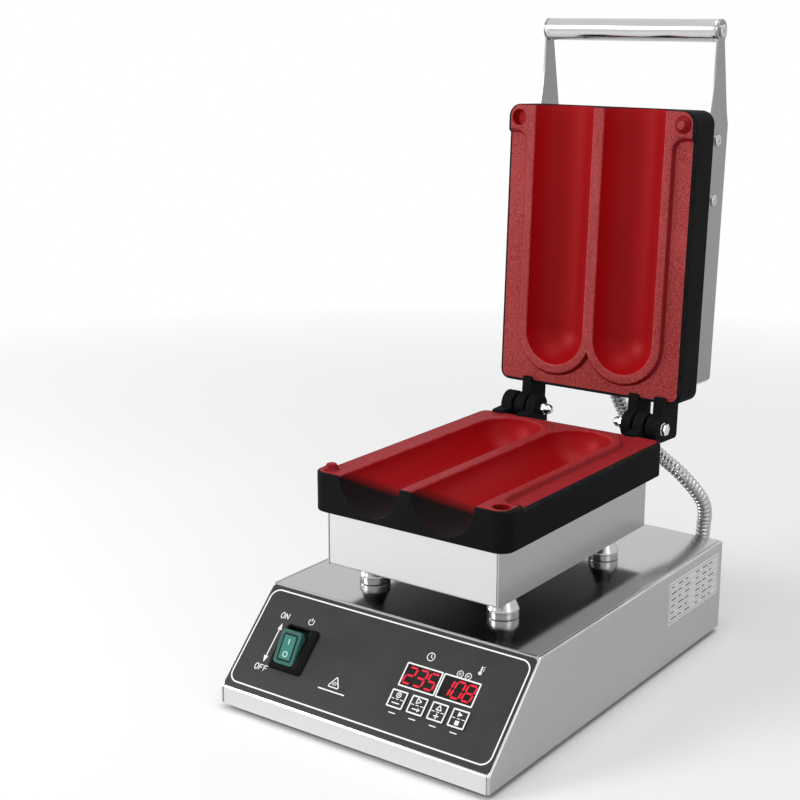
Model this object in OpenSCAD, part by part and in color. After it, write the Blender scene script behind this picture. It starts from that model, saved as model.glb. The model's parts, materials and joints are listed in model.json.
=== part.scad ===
// Countertop press with two half-round channels: a control case with a sloped panel, a heated
// lower plate on four pillars, and a heated upper plate on a rear hinge, shown standing open.
// The origin is the centre of the case's footprint, at the height of the surface it stands on.

/* [Case] */
// Width of the case
case_w = 250; // [240:1:300]
// Depth of the case
case_d = 370; // [360:1:420]
// Height of the case above its feet
case_h = 80; // [76:1:100]
// Height of the front lip, under the sloped panel
lip_h = 14; // [12:1:18]
// Thickness of the case's sheet
sheet_t = 1.2; // [0.8:0.1:1.6]
// Width of the folded flanges inside the case
flange_w = 12; // [8:1:16]
// Height of the rubber feet
foot_h = 4; // [3.5:0.5:10]
// Radius of a foot at its top
foot_r = 12; // [10:0.5:15]
// Distance of the feet from the sides of the case
foot_inset_x = 28; // [20:1:40]
// Distance of the feet from the front and rear of the case
foot_inset_y = 24; // [20:1:40]
// Radius of the screws in the feet
foot_screw_r = 2; // [1.5:0.25:2.5]

/* [Control panel] */
// Thickness of the printed film on the slope
film_t = 0.5; // [0.3:0.1:0.8]
// Bare metal left round the film
film_margin = 1.8; // [1:0.1:4]
// Side of a key
key_w = 14; // [12:0.5:15]
// Distance between the centres of two keys
key_pitch = 18; // [17:0.5:20]
// Place of the row of keys up the slope
key_v = 32.5; // [30:0.5:34]
// Travel of a key
key_travel = 0.45; // [0.3:0.05:0.6]
// Width of a display window
window_w = 31.2; // [30:0.2:32]
// Height of a display window
window_h = 17.6; // [16:0.2:19]
// Place of the display windows up the slope
window_v = 52.5; // [51:0.5:54]
// Distance between the centres of the two windows
window_pitch = 33; // [33:0.5:36]
// Place of the displays and keys across the panel
cluster_u = 57.2; // [50:0.2:60]
// Place of the switch across the panel
switch_u = -75.5; // [-85:0.5:-70]
// Place of the switch up the slope
switch_v = 44.5; // [40:0.5:48]
// Width of the rocker
rocker_w = 19.6; // [18:0.2:21]
// Length of the rocker's face
rocker_l = 27.4; // [26:0.2:29]
// Tilt of the rocker each way from level
rocker_tilt = 14; // [10:1:15]
// Radius of the rocker's pivot pins
rocker_pin_r = 1.5; // [1.2:0.1:1.8]

/* [Heater housing] */
// Height of the pillars between the case and the lower housing
pillar_h = 21.3; // [16:0.1:30]
// Radius of a pillar's foot
pillar_r = 12.5; // [11:0.5:14]
// Radius of a pillar's neck
pillar_neck_r = 7; // [6:0.5:8]
// Distance between the pillars across the case
pillar_dx = 122; // [110:1:126]
// Distance between the pillars from front to rear
pillar_dy = 156; // [140:1:170]
// Radius of the bolts through the pillars
pillar_bolt_r = 3; // [2.5:0.25:4]
// Width of the lower housing
box_w = 159; // [156:1:164]
// Depth of the lower housing
box_d = 229.6; // [226:0.2:234]
// Height of the lower housing
box_h = 45; // [40:1:60]

/* [Plates] */
// Width of both cast plates
plate_w = 180; // [176:1:190]
// Length of both cast plates
plate_l = 246.4; // [240:0.2:252]
// Thickness of the lower plate
plate_h = 32.5; // [32:0.5:38]
// Thickness of the upper plate
upper_plate_h = 36; // [32:0.5:40]
// Distance from the front of the case to the front of the plates
plate_setback = 72.2; // [72:0.2:90]
// Radius of the plates' corners
plate_corner_r = 12; // [8:0.5:14]
// Depth of the relief around the contact bands
relief_h = 3.3; // [2:0.1:4]
// Radius of a channel
channel_r = 28.5; // [26:0.25:29]
// Length of a channel from the front of the plate
channel_l = 226; // [220:1:228]
// Width of the land between the two channels
land_w = 10.4; // [9:0.2:12]
// Width of the contact band around a channel
band_w = 7.8; // [6:0.2:9]
// Length of the pads at the front corners
pad_l = 22.5; // [20:0.5:26]
// Radius of the locating boss at its base
boss_r = 6.5; // [5:0.1:7]
// Height of the locating boss
boss_h = 4.5; // [3:0.1:5]
// Radius of the screws that hold a plate to its housing
plate_screw_r = 2.5; // [2:0.25:3]

/* [Hinge] */
// Distance of the hinge axis behind the plates
hinge_back = 20.6; // [18:0.2:30]
// Radius of the hinge lugs
lug_r = 11.5; // [10:0.5:12]
// Height of a lug's block above the axis
lug_block_h = 28; // [20:1:30]
// Width of the outer ear of a fork
ear_outer_w = 11; // [9:0.5:12]
// Width of the inner ear of a fork and of a tongue
ear_w = 9; // [8:0.5:10]
// Gap between neighbouring lugs
ear_gap = 3; // [2:0.5:4]
// Distance of the inner ear from the middle of the plate
ear_start = 43; // [40:0.5:46]
// Radius of the hinge bolts
hinge_bolt_r = 3; // [2.5:0.25:3.5]
// Angle that the lid stands open
lid_open = 92.5; // [85:0.5:100]
// Gap left between the contact bands with the lid closed
closed_gap = 0.4; // [0.3:0.1:1]

/* [Lid] */
// Width of the upper housing
lid_w = 163; // [160:1:168]
// Depth of the upper housing
lid_d = 225.6; // [222:0.2:230]
// Distance of the upper housing behind the plate's front edge
lid_inset = 11.5; // [10:0.5:14]
// Height of the upper housing
lid_h = 42; // [36:1:50]

/* [Handle] */
// Radius of the handle bar
handle_r = 9.5; // [8:0.5:11]
// Distance of the handle bar in front of the plates
handle_reach = 65; // [50:1:80]
// Height of the handle bar above the contact bands
handle_rise = 52; // [46:1:56]
// Thickness of the handle arms
arm_t = 2; // [1.5:0.1:3]
// Distance of an arm's end in front of the upper housing's rear
arm_rear = 3; // [0:1:60]
// Width of an arm on the upper housing
arm_w = 37; // [30:1:38]
// Radius of the screws in the arms
arm_screw_r = 2.5; // [2:0.25:3]
// Distance between the two screws of an arm
arm_screw_pitch = 50.4; // [40:0.2:60]

/* [Conduit and electrics] */
// Radius of the flexible conduit
conduit_r = 6.5; // [5.5:0.25:7.5]
// Radius of the opening for the mains cord
cord_entry_r = 4; // [3:0.25:5]
// Radius of the heating elements
heater_r = 4; // [3:0.25:4.5]
// Distance of a heating element's legs from the middle
heater_x = 40; // [34:1:46]
// Thickness of the heat shields
clamp_t = 1.5; // [1:0.1:2]

/* [Hidden] */
$fn = 64;

// Clearances: a running fit on a pin, a loose fit in a hole, and a seam between loose pieces.
run_gap = 0.05;
hole_gap = 0.1;
seam = 0.1;
cut = 1;          // how far a cutting shape runs past the face that it cuts
join = 0.5;       // how deep two shapes of one solid run into each other

// Case
front = -case_d / 2;
rear = case_d / 2;
case_z0 = foot_h;
case_z1 = foot_h + case_h;
inner_w = case_w - 2 * sheet_t;
slope_run = case_h - lip_h;
slope_l = slope_run * sqrt(2);
fold_k = tan(22.5);
foot_x = case_w / 2 - foot_inset_x;
foot_y = case_d / 2 - foot_inset_y;
foot_bottom_r = foot_r - 2;
foot_head_r = 2 * foot_screw_r;
foot_head_h = 1.8;
foot_recess = foot_head_h + 0.6;

// Panel pieces, measured out of the slope: the sheet's face is at 0
switch_hole_w = rocker_w + 2;
switch_hole_l = rocker_l + 1.6;
bezel_w = rocker_w + 12.4;
bezel_l = rocker_l + 10.6;
bezel_h = 6;
bezel_top_w = rocker_w + 6.8;
bezel_top_l = rocker_l + 6;
switch_depth = 22;
rocker_pivot_v = switch_v - 0.3;
rocker_room = 4.8;
rocker_pivot_w = film_t + 1.7;
rocker_face = 7.8;      // the face's height over the pivot
rocker_side = 4;        // depth of the rocker's ends
rocker_keel = 5;        // half width of its lower edge
board_depth = 9;        // the board's face under the sheet's outer face
board_t = 1.6;
board_w = 88;
board_l = 56;
board_v = (key_v + window_v) / 2 + 2.5;
standoff_r = 3;
key_stem_r = 1.8;
key_t = 0.5;
key_lift = film_t + 0.05;
led_r = 1.5;
led_u = cluster_u + 12.6;
led_pitch = 7.1;
led_v = window_v + window_h / 2 + 3.2;

// Lower housing and plates
box_z0 = case_z1 + pillar_h;
box_z1 = box_z0 + box_h;
plate_y0 = front + plate_setback;
plate_mid = plate_y0 + plate_l / 2;
box_mid = plate_mid - 1.3;
part_z = box_z1 + plate_h;
upper_z0 = part_z + closed_gap;
lid_z0 = upper_z0 + upper_plate_h;
lid_z1 = lid_z0 + lid_h;
hinge_y = plate_y0 + plate_l + hinge_back;
hinge_z = part_z + closed_gap / 2;
lid_y0 = plate_y0 + lid_inset;
lid_y1 = lid_y0 + lid_d;
channel_x = land_w / 2 + channel_r;
band_r = channel_r + band_w;
tongue_start = ear_start + ear_w + ear_gap;
outer_start = tongue_start + ear_w + ear_gap;
outer_end = outer_start + ear_outer_w;
pad_fillet_r = 10;
boss_inset = 11.5;
boss_top_r = 0.58 * boss_r;
socket_r = boss_r + 0.3;
socket_h = boss_h + 1;
flange_screw = 7;                  // plate screws, inside the housing's side
screw_inset = [40, 38];            // plate screws, inside the housing's front and rear
screw_grip = 10;
box_inset = box_mid - box_d / 2 - plate_y0;
element_front = 46;                // the element's bend, behind the housing's front
element_rear = 19;                 // the element's ends, in front of the housing's rear
shield_margin_x = 16;              // the shield and wool reach past the element's legs
shield_inset = 5;                  // the shield, inside the housing's front
wool_inset = 15;                   // the wool, inside the housing's front
pad_rear = 21;                     // both, inside the housing's rear

// Handle
handle_y = plate_y0 - handle_reach;
handle_z = part_z + handle_rise;
arm_top = lid_z1 - 2;
arm_low = arm_top - arm_w;
arm_neck_low = 6.6;     // the neck's lower edge leaves the bar this far below its axis
arm_neck_l = 40;        // and runs level this far
arm_neck_high = 7;      // the neck's upper edge starts this far behind and above the bar's axis
arm_screw_y = lid_y0 + 13.5;
arm_screw_z = (arm_top + arm_low) / 2 - 1;
screw_head_h = 2.6;
bolt_head_h = 4;

// Conduit: fittings on the rear wall and on the end of the upper housing
entry_x = 90;
entry_z = case_z0 + 48;
fitting_l = 14;
gland_x = 55 - case_w / 2;
gland_z = case_z0 + 32;
route = [[90, 199, 52], [90, 207, 52], [89, 215, 55], [88, 222, 61], [87, 226, 70],
    [87, 227, 80], [88, 226, 90], [87, 223, 101], [82, 218, 112], [75, 213, 122],
    [66, 210, 131], [56, 210, 137], [45, 210, 144], [34, 210, 151], [24, 211, 160],
    [14, 212, 171], [6, 212, 183], [0, 212, 195.5]];

// ---------- helpers ----------

// Outline of the case in its side view, moved inwards by o
function case_outline(o) = [[front + o, case_z0], [front + o, case_z0 + lip_h - o * fold_k],
    [front + slope_run + o * fold_k, case_z1 - o], [rear - o, case_z1 - o], [rear - o, case_z0]];

// The outline as a closed strip, o wide
function strip(o) = concat(case_outline(0),
    [for (i = [4:-1:0]) case_outline(o)[i]]);

module round_rect(w, l, r) {
    square([w - 2 * r, l], center = true);
    square([w, l - 2 * r], center = true);
    for (sx = [-1, 1], sy = [-1, 1])
        translate([sx * (w / 2 - r), sy * (l / 2 - r)]) circle(r);
}

// A shape drawn in the side view (y, z) and given a width along x
module from_side(x0, w) {
    translate([x0, 0, 0]) rotate([90, 0, 90]) linear_extrude(w) children();
}

// Children are placed on the sloped panel: x across, y up the slope, z out of it
module on_panel(u = 0, v = 0, w = 0) {
    translate([0, front, case_z0 + lip_h]) rotate([45, 0, 0]) translate([u, v, w]) children();
}

// A block on the panel from height w0 to w1
module panel_block(u, v, size_u, size_v, w0, w1, r = 0.5) {
    on_panel(u, v, w0) linear_extrude(w1 - w0) round_rect(size_u, size_v, r);
}

// Children drawn with the lid closed are turned open about the hinge axis
module lid_pose() {
    translate([0, hinge_y, hinge_z]) rotate([-lid_open, 0, 0])
        translate([0, -hinge_y, -hinge_z]) children();
}

// Frames on the backs of the plates: y from the front edge, z away from the plate
module behind_lower() {
    translate([0, plate_y0, box_z1]) rotate([0, 180, 0]) children();
}

module behind_upper() {
    lid_pose() translate([0, plate_y0, lid_z0]) children();
}

module pan_screw(r, head_r, head_h, l) {
    cylinder(r = r, h = l);
    translate([0, 0, -head_h]) difference() {
        cylinder(r = head_r, h = head_h);
        for (turn = [0, 90]) rotate(turn)
            translate([-head_r / 2, -0.4, -cut]) cube([head_r, 0.8, cut + head_h / 2]);
    }
}

// ---------- case ----------

module base_shell() color("lightgray") difference() {
    from_side(-inner_w / 2, inner_w) polygon(strip(sheet_t));
    on_panel(switch_u, switch_v, -sheet_t - cut)
        linear_extrude(sheet_t + 2 * cut) round_rect(switch_hole_w, switch_hole_l, 1);
    for (i = [-1, 1]) on_panel(cluster_u + i * window_pitch / 2, window_v, -sheet_t - cut)
        linear_extrude(sheet_t + 2 * cut) round_rect(window_w - 3, window_h - 3, 1);
    for (i = [0:3]) on_panel(key_u(i), key_v, -sheet_t - cut)
        cylinder(r = key_stem_r + 0.6, h = sheet_t + 2 * cut);
    for (i = [0, 1]) on_panel(led_u + i * led_pitch, led_v, -sheet_t - cut)
        cylinder(r = led_r + hole_gap, h = sheet_t + 2 * cut);
    for (sx = [-1, 1], sy = [-1, 1])
        translate([sx * pillar_dx / 2, box_mid + sy * pillar_dy / 2, case_z1 - sheet_t - cut])
            cylinder(r = pillar_bolt_r + hole_gap, h = sheet_t + 2 * cut);
    translate([entry_x, rear + cut, entry_z]) rotate([90, 0, 0])
        cylinder(r = conduit_r + 1 + hole_gap, h = sheet_t + 2 * cut);
    translate([gland_x, rear + cut, gland_z]) rotate([90, 0, 0])
        cylinder(r = cord_entry_r + 4 + hole_gap, h = sheet_t + 2 * cut);
}

module side_panel(side) color("silver") {
    from_side(side * case_w / 2 - (side > 0 ? sheet_t : 0), sheet_t) polygon(case_outline(0));
    translate([side * (inner_w / 2 - flange_w / 2 + join / 2), (front + slope_run + rear) / 2,
               case_z1 - 1.5 * sheet_t])
        cube([flange_w + join, rear - front - slope_run - 12, sheet_t], center = true);
}

module side_panel_left() side_panel(-1);
module side_panel_right() side_panel(1);

vent_l = 40;
vent_w = 4;
module bottom_plate() color("gray") difference() {
    union() {
        translate([-inner_w / 2, front + sheet_t, case_z0])
            cube([inner_w, case_d - 2 * sheet_t, sheet_t]);
        for (y = [front + sheet_t, rear - 2 * sheet_t]) translate([-inner_w / 2, y, case_z0])
            cube([inner_w, sheet_t, lip_h - 3 * sheet_t]);
    }
    for (sx = [-1, 1], sy = [-1, 1]) translate([sx * foot_x, sy * foot_y, case_z0 - cut])
        cylinder(r = foot_screw_r + hole_gap, h = sheet_t + 2 * cut);
    for (row = [-1, 1], i = [-3:3])
        translate([i * 14, row * 70 + 10, case_z0 - cut]) linear_extrude(sheet_t + 2 * cut)
            round_rect(vent_w, vent_l, 0.4 * vent_w);
}

module foot(sx, sy) color("#1a1a1a") translate([sx * foot_x, sy * foot_y, 0])
    rotate_extrude() polygon([[foot_head_r + 1, 0], [foot_bottom_r - 1, 0], [foot_bottom_r, 1],
        [foot_r, foot_h], [foot_screw_r + hole_gap, foot_h],
        [foot_screw_r + hole_gap, foot_recess], [foot_head_r + 1, foot_recess]]);

module foot_front_left() foot(-1, -1);
module foot_front_right() foot(1, -1);
module foot_rear_left() foot(-1, 1);
module foot_rear_right() foot(1, 1);

// Each screw stands up through its foot and the bottom plate, with a nut on the sheet
module foot_screws() color("silver")
    for (sx = [-1, 1], sy = [-1, 1]) translate([sx * foot_x, sy * foot_y, foot_recess]) {
        pan_screw(foot_screw_r, foot_head_r, foot_head_h, foot_h - foot_recess + sheet_t + 5);
        translate([0, 0, foot_h - foot_recess + sheet_t]) difference() {
            cylinder(r = 2 * foot_screw_r, h = 3.2, $fn = 6);
            translate([0, 0, -cut]) cylinder(r = foot_screw_r - 0.2, h = 3.2 + 2 * cut);
        }
    }

// ---------- control panel ----------

function key_u(i) = cluster_u + (i - 1.5) * key_pitch;

module panel_overlay() color("#404040") difference() {
    on_panel(0, slope_l / 2, 0) linear_extrude(film_t)
        round_rect(case_w - 2 * film_margin, slope_l - 2 * film_margin, 3);
    on_panel(switch_u, switch_v, -cut)
        linear_extrude(film_t + 2 * cut) round_rect(switch_hole_w, switch_hole_l, 1);
    for (i = [-1, 1]) on_panel(cluster_u + i * window_pitch / 2, window_v, -cut)
        linear_extrude(film_t + 2 * cut)
            round_rect(window_w + 2 * seam, window_h + 2 * seam, 0.6);
    for (i = [0:3]) on_panel(key_u(i), key_v, -cut)
        cylinder(r = key_stem_r + 0.6, h = film_t + 2 * cut);
    for (i = [0, 1]) on_panel(led_u + i * led_pitch, led_v, -cut)
        cylinder(r = led_r + hole_gap, h = film_t + 2 * cut);
}

// A key stands on the film, and its stem reaches down to its switch on the board
module key(i) color("#101010") {
    panel_block(key_u(i), key_v, key_w, key_w, key_lift + key_travel, key_lift + key_travel + key_t);
    on_panel(key_u(i), key_v, -board_depth + tact_h + key_travel + 0.1)
        cylinder(r = key_stem_r, h = board_depth - tact_h + key_lift + 0.1);
}

module key_set() key(0);
module key_next() key(1);
module key_up() key(2);
module key_start() key(3);

tact_h = 6.2;
module tact_switches() color("dimgray") for (i = [0:3]) {
    panel_block(key_u(i), key_v, 6, 6, -board_depth, -board_depth + 4);
    on_panel(key_u(i), key_v, -board_depth + 4 - join)
        cylinder(r = key_stem_r, h = tact_h - 4 + join);
}

module displays() color("#200000") for (i = [-1, 1])
    panel_block(cluster_u + i * window_pitch / 2, window_v, window_w - 3.4, window_h - 3.4,
        -board_depth, -0.3);

module display_lenses() color("#300505") for (i = [-1, 1])
    panel_block(cluster_u + i * window_pitch / 2, window_v, window_w, window_h, 0, film_t);

module indicator_leds() color("gainsboro") for (i = [0, 1])
    on_panel(led_u + i * led_pitch, led_v, -board_depth) {
        cylinder(r = led_r, h = board_depth);
        translate([0, 0, board_depth]) sphere(r = led_r);
    }

module control_board() color("darkgreen")
    panel_block(cluster_u, board_v, board_w, board_l, -board_depth - board_t, -board_depth);

module board_standoffs() color("white")
    for (su = [-1, 1], sv = [-1, 1])
        on_panel(cluster_u + su * (board_w / 2 - standoff_r - 0.5),
                 board_v + sv * (board_l / 2 - standoff_r - 0.5), -board_depth)
            cylinder(r = standoff_r, h = board_depth - sheet_t);

// Bezel and body of the switch in one moulding, with the bores of the rocker's pins
module switch_housing() color("#111111") difference() {
    union() {
        on_panel(switch_u, switch_v, film_t) hull() {
            linear_extrude(1.5) round_rect(bezel_w, bezel_l, 3, $fn = 32);
            linear_extrude(bezel_h) round_rect(bezel_top_w, bezel_top_l, 3, $fn = 32);
        }
        panel_block(switch_u, switch_v, switch_hole_w - 0.4, switch_hole_l - 0.4,
            -switch_depth, film_t + join);
    }
    panel_block(switch_u, switch_v, rocker_w + 0.6, switch_hole_l - 2.6,
        -switch_depth + 2, film_t + 0.6);
    panel_block(switch_u, switch_v, rocker_w + 0.6, rocker_l + rocker_room,
        film_t + 0.5, film_t + bezel_h + cut, 0.5);
    on_panel(switch_u - rocker_w / 2 - 2, rocker_pivot_v, rocker_pivot_w) rotate([0, 90, 0])
        cylinder(r = rocker_pin_r + run_gap, h = rocker_w + 4);
}

// The rocker, drawn about its pivot and turned to its off position
module switch_rocker() color("seagreen")
    on_panel(switch_u, rocker_pivot_v, rocker_pivot_w) rotate([rocker_tilt, 0, 0]) {
        translate([-rocker_w / 2, 0, 0]) rotate([90, 0, 90]) linear_extrude(rocker_w)
            polygon([[-rocker_l / 2, rocker_face], [-rocker_l / 2, rocker_face - rocker_side],
                [-rocker_keel, -rocker_keel], [rocker_keel, -rocker_keel],
                [rocker_l / 2, rocker_face - rocker_side], [rocker_l / 2, rocker_face]]);
        translate([-rocker_w / 2 - 1.6, 0, 0]) rotate([0, 90, 0])
            cylinder(r = rocker_pin_r, h = rocker_w + 3.2);
    }

// ---------- inside the case ----------

// Children are placed on the case's floor
module on_floor(x, y) translate([x, y, case_z0 + sheet_t]) children();

module transformer() color("dimgray") on_floor(-70, 20) {
    translate([-24, -20, 0]) cube([48, 40, 34]);
    translate([-15, -30, 6]) cube([30, 60, 22]);
    translate([-34, -20, 0]) cube([68, 40, 3]);
}

module relay() color("ivory") on_floor(60, -20) {
    translate([-23, -29, 0]) cube([46, 58, 4]);
    translate([-22, -28, 4 - join]) cube([44, 56, 22 + join]);
    for (x = [-12, 12], y = [-22, 22]) translate([x, y, 20]) cylinder(r = 4, h = 9);
}

module terminal_block() color("wheat") on_floor(-60, 110) difference() {
    translate([-30, -11, 0]) cube([60, 22, 18]);
    for (i = [-2:2]) translate([i * 11, 0, 10]) cylinder(r = 3.2, h = 10);
}

// Round fitting on a wall: a flange outside, a barrel, and a nut inside
module fitting(bore_r, barrel_r, l) rotate_extrude() polygon([[bore_r, -sheet_t - 6],
    [barrel_r, -sheet_t - 6], [barrel_r, -sheet_t - 4], [barrel_r + 3, -sheet_t - 4],
    [barrel_r + 3, -sheet_t], [barrel_r, -sheet_t], [barrel_r, 0], [barrel_r + 3, 0],
    [barrel_r + 3, 4], [barrel_r + 1, 5], [barrel_r + 1, l - 2], [barrel_r, l], [bore_r, l]]);

module mains_gland() color("#1c1c1c")
    translate([gland_x, rear, gland_z]) rotate([-90, 0, 0])
        fitting(cord_entry_r, cord_entry_r + 4, 20);

module base_connector() color("silver")
    translate([entry_x, rear, entry_z]) rotate([-90, 0, 0])
        fitting(conduit_r - 1.5, conduit_r + 1, fitting_l);

module lid_connector() color("silver")
    lid_pose() translate([0, lid_y1, lid_z0 + lid_h / 2]) rotate([-90, 0, 0])
        fitting(conduit_r - 1.5, conduit_r + 1, fitting_l);

label_l = 94;
label_h = 37;
label_t = 0.3;
module rating_plate() color("gainsboro")
    translate([case_w / 2, rear - 8.5 - label_l, case_z0 + 34.5])
        cube([label_t, label_l, label_h]);

// ---------- lower heater unit ----------

module pillar(sx, sy) color("silver")
    translate([sx * pillar_dx / 2, box_mid + sy * pillar_dy / 2, case_z1])
        rotate_extrude() polygon([[pillar_bolt_r + hole_gap, 0], [pillar_r - 0.8, 0],
            [pillar_r, 0.8], [pillar_r, 7.4], [pillar_r - 0.8, 8.2],
            [pillar_neck_r + 0.6, pillar_h - 3], [pillar_neck_r, pillar_h - 2],
            [pillar_neck_r, pillar_h], [pillar_bolt_r + hole_gap, pillar_h]]);

module pillar_front_left() pillar(-1, -1);
module pillar_front_right() pillar(1, -1);
module pillar_rear_left() pillar(-1, 1);
module pillar_rear_right() pillar(1, 1);

// Hexagon bolts from inside the case, each with a nut on the housing's floor
module pillar_bolts() color("silver")
    for (sx = [-1, 1], sy = [-1, 1])
        translate([sx * pillar_dx / 2, box_mid + sy * pillar_dy / 2, case_z1 - sheet_t]) {
            translate([0, 0, -bolt_head_h])
                cylinder(r = 1.9 * pillar_bolt_r, h = bolt_head_h, $fn = 6);
            cylinder(r = pillar_bolt_r, h = 2 * sheet_t + pillar_h + 8);
            translate([0, 0, 2 * sheet_t + pillar_h])
                cylinder(r = 1.9 * pillar_bolt_r, h = 5, $fn = 6);
        }

// Floor, front and rear wall of the lower housing, folded from one sheet
module lower_housing() color("lightgray") difference() {
    translate([-box_w / 2 + sheet_t, box_mid - box_d / 2, box_z0])
        cube([box_w - 2 * sheet_t, box_d, box_h]);
    translate([-box_w / 2, box_mid - box_d / 2 + sheet_t, box_z0 + sheet_t])
        cube([box_w, box_d - 2 * sheet_t, box_h]);
    for (sx = [-1, 1], sy = [-1, 1])
        translate([sx * pillar_dx / 2, box_mid + sy * pillar_dy / 2, box_z0 - cut])
            cylinder(r = pillar_bolt_r + hole_gap, h = sheet_t + 2 * cut);
}

// Side wall of the lower housing, with the flange that the plate is screwed to
module lower_side(side) color("silver") difference() {
    union() {
        translate([side * (box_w / 2 - sheet_t / 2), box_mid, box_z0 + box_h / 2])
            cube([sheet_t, box_d, box_h], center = true);
        translate([side * (box_w / 2 - sheet_t - flange_w / 2 + join / 2), box_mid,
                   box_z1 - sheet_t / 2])
            cube([flange_w + join, box_d - 2 * sheet_t - 2 * seam, sheet_t], center = true);
    }
    for (y = screw_rows(box_inset, box_d))
        translate([side * (box_w / 2 - flange_screw), plate_y0 + y, box_z1 - sheet_t - cut])
            cylinder(r = plate_screw_r + hole_gap, h = sheet_t + 2 * cut);
}

module lower_side_left() lower_side(-1);
module lower_side_right() lower_side(1);

// The heater units take their place from their housing: its front is at y0 and it is d deep.

function screw_rows(y0, d) = [y0 + screw_inset[0], y0 + d - screw_inset[1]];

// Heating element: a hairpin tube against the back of a plate, with a stud in each end
module heater(y0, d) {
    leg = d - element_front - element_rear;
    for (side = [-1, 1]) translate([side * heater_x, y0 + element_front, heater_r])
        rotate([-90, 0, 0]) {
            cylinder(r = heater_r, h = leg);
            cylinder(r = heater_r / 2.5, h = leg + 10);
        }
    translate([0, y0 + element_front, heater_r]) rotate(180)
        rotate_extrude(angle = 180) translate([heater_x, 0]) circle(heater_r);
}

// Sheet that presses the element against the plate
module heat_shield(y0, d)
    translate([-heater_x - shield_margin_x, y0 + shield_inset, 2 * heater_r])
        cube([2 * (heater_x + shield_margin_x), d - shield_inset - pad_rear, clamp_t]);

// Wool block between the heat shield and the housing, h deep, with room for the fixings
module wool(y0, d, h) difference() {
    translate([-heater_x - shield_margin_x, y0 + wool_inset, 2 * heater_r + clamp_t])
        cube([2 * (heater_x + shield_margin_x), d - wool_inset - pad_rear,
              h - 2 * heater_r - clamp_t - sheet_t]);
    for (sx = [-1, 1], sy = [-1, 1])
        translate([sx * pillar_dx / 2, y0 + d / 2 + sy * pillar_dy / 2, 0])
            cylinder(r = pillar_bolt_r + 5, h = h);
}

// Temperature probe: a sheathed rod against the plate between the element's legs
probe_r = 2.5;
probe_l = 50;
module probe(y0, d) translate([0, y0 + d - probe_l - 35, probe_r]) rotate([-90, 0, 0]) {
    cylinder(r = probe_r, h = probe_l);
    translate([0, 0, probe_l - join]) cylinder(r = 0.6 * probe_r, h = 16);
}

// Screws from the housing's flanges, w apart from outside to outside, into a plate's back
module plate_screws(y0, d, w) for (side = [-1, 1], y = screw_rows(y0, d))
    translate([side * (w / 2 - flange_screw), y, sheet_t]) rotate([180, 0, 0])
        pan_screw(plate_screw_r, 1.9 * plate_screw_r, screw_head_h, screw_grip);

module lower_insulation() color("beige") behind_lower() wool(box_inset, box_d, box_h);
module lower_heat_shield() color("gray") behind_lower() heat_shield(box_inset, box_d);
module lower_heater() color("dimgray") behind_lower() heater(box_inset, box_d);
module lower_probe() color("silver") behind_lower() probe(box_inset, box_d);
module lower_plate_screws() color("silver") behind_lower() plate_screws(box_inset, box_d, box_w);

// ---------- cast plates ----------

// Outline of a plate, with its front edge on the x axis
module plate_outline() translate([0, plate_l / 2]) round_rect(plate_w, plate_l, plate_corner_r);

// The contact level: bands round the channels, the land between them and the corner pads
module contact_outline() intersection() {
    plate_outline();
    union() {
        for (side = [-1, 1]) {
            translate([side * channel_x - band_r, -cut])
                square([2 * band_r, channel_l - channel_r + cut]);
            translate([side * channel_x, channel_l - channel_r]) circle(band_r);
            translate([side > 0 ? channel_x + band_r - join : -plate_w / 2, 0])
                square([plate_w / 2 - channel_x - band_r + join, pad_l]);
            translate([side * (channel_x + band_r), pad_l]) difference() {
                translate([side > 0 ? -join : -pad_fillet_r, -join])
                    square(pad_fillet_r + join);
                translate([side * pad_fillet_r, pad_fillet_r]) circle(pad_fillet_r);
                translate([side > 0 ? pad_fillet_r : -2 * pad_fillet_r - join, -2 * join])
                    square(2 * pad_fillet_r);
            }
        }
        translate([-land_w / 2, 0]) square([land_w, channel_l - channel_r]);
    }
}

// A hinge lug from x0, w wide: a knuckle on the axis and a block that joins it to the plate
module lug(x0, w) from_side(x0, w) {
    translate([plate_l + hinge_back, closed_gap / 2]) circle(lug_r);
    translate([plate_l - 6, -lug_block_h])
        square([hinge_back + lug_r + 6, lug_block_h]);
}

// A cast plate seen as the lower one: contact level at 0, body below it. The upper plate is
// the same casting turned over, so its fork meets this one's tongue. The screw holes in its
// back follow the housing, whose front is at y0 and which is d deep and w wide.
module cast_plate(h, y0, d, w) difference() {
    union() {
        translate([0, 0, -h]) linear_extrude(h - relief_h) plate_outline();
        translate([0, 0, -relief_h - join]) linear_extrude(relief_h + join) contact_outline();
        translate([-plate_w / 2 + boss_inset, boss_inset, 0])
            cylinder(r1 = boss_r, r2 = boss_top_r, h = boss_h);
        lug(-outer_end, ear_outer_w);
        lug(-ear_start - ear_w, ear_w);
        lug(tongue_start, ear_w);
    }
    for (side = [-1, 1]) translate([side * channel_x, 0, 0]) {
        translate([0, channel_l - channel_r, 0]) rotate([90, 0, 0])
            cylinder(r = channel_r, h = channel_l - channel_r + cut);
        translate([0, channel_l - channel_r, 0]) sphere(r = channel_r);
    }
    translate([plate_w / 2 - boss_inset, boss_inset, -socket_h])
        cylinder(r = socket_r, h = socket_h + cut);
    translate([-outer_end - cut, plate_l + hinge_back, closed_gap / 2]) rotate([0, 90, 0])
        cylinder(r = hinge_bolt_r + run_gap, h = 2 * outer_end + 2 * cut);
    for (side = [-1, 1], y = screw_rows(y0, d))
        translate([side * (w / 2 - flange_screw), y, -h - cut])
            cylinder(r = plate_screw_r + hole_gap, h = screw_grip + cut);
}

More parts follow.
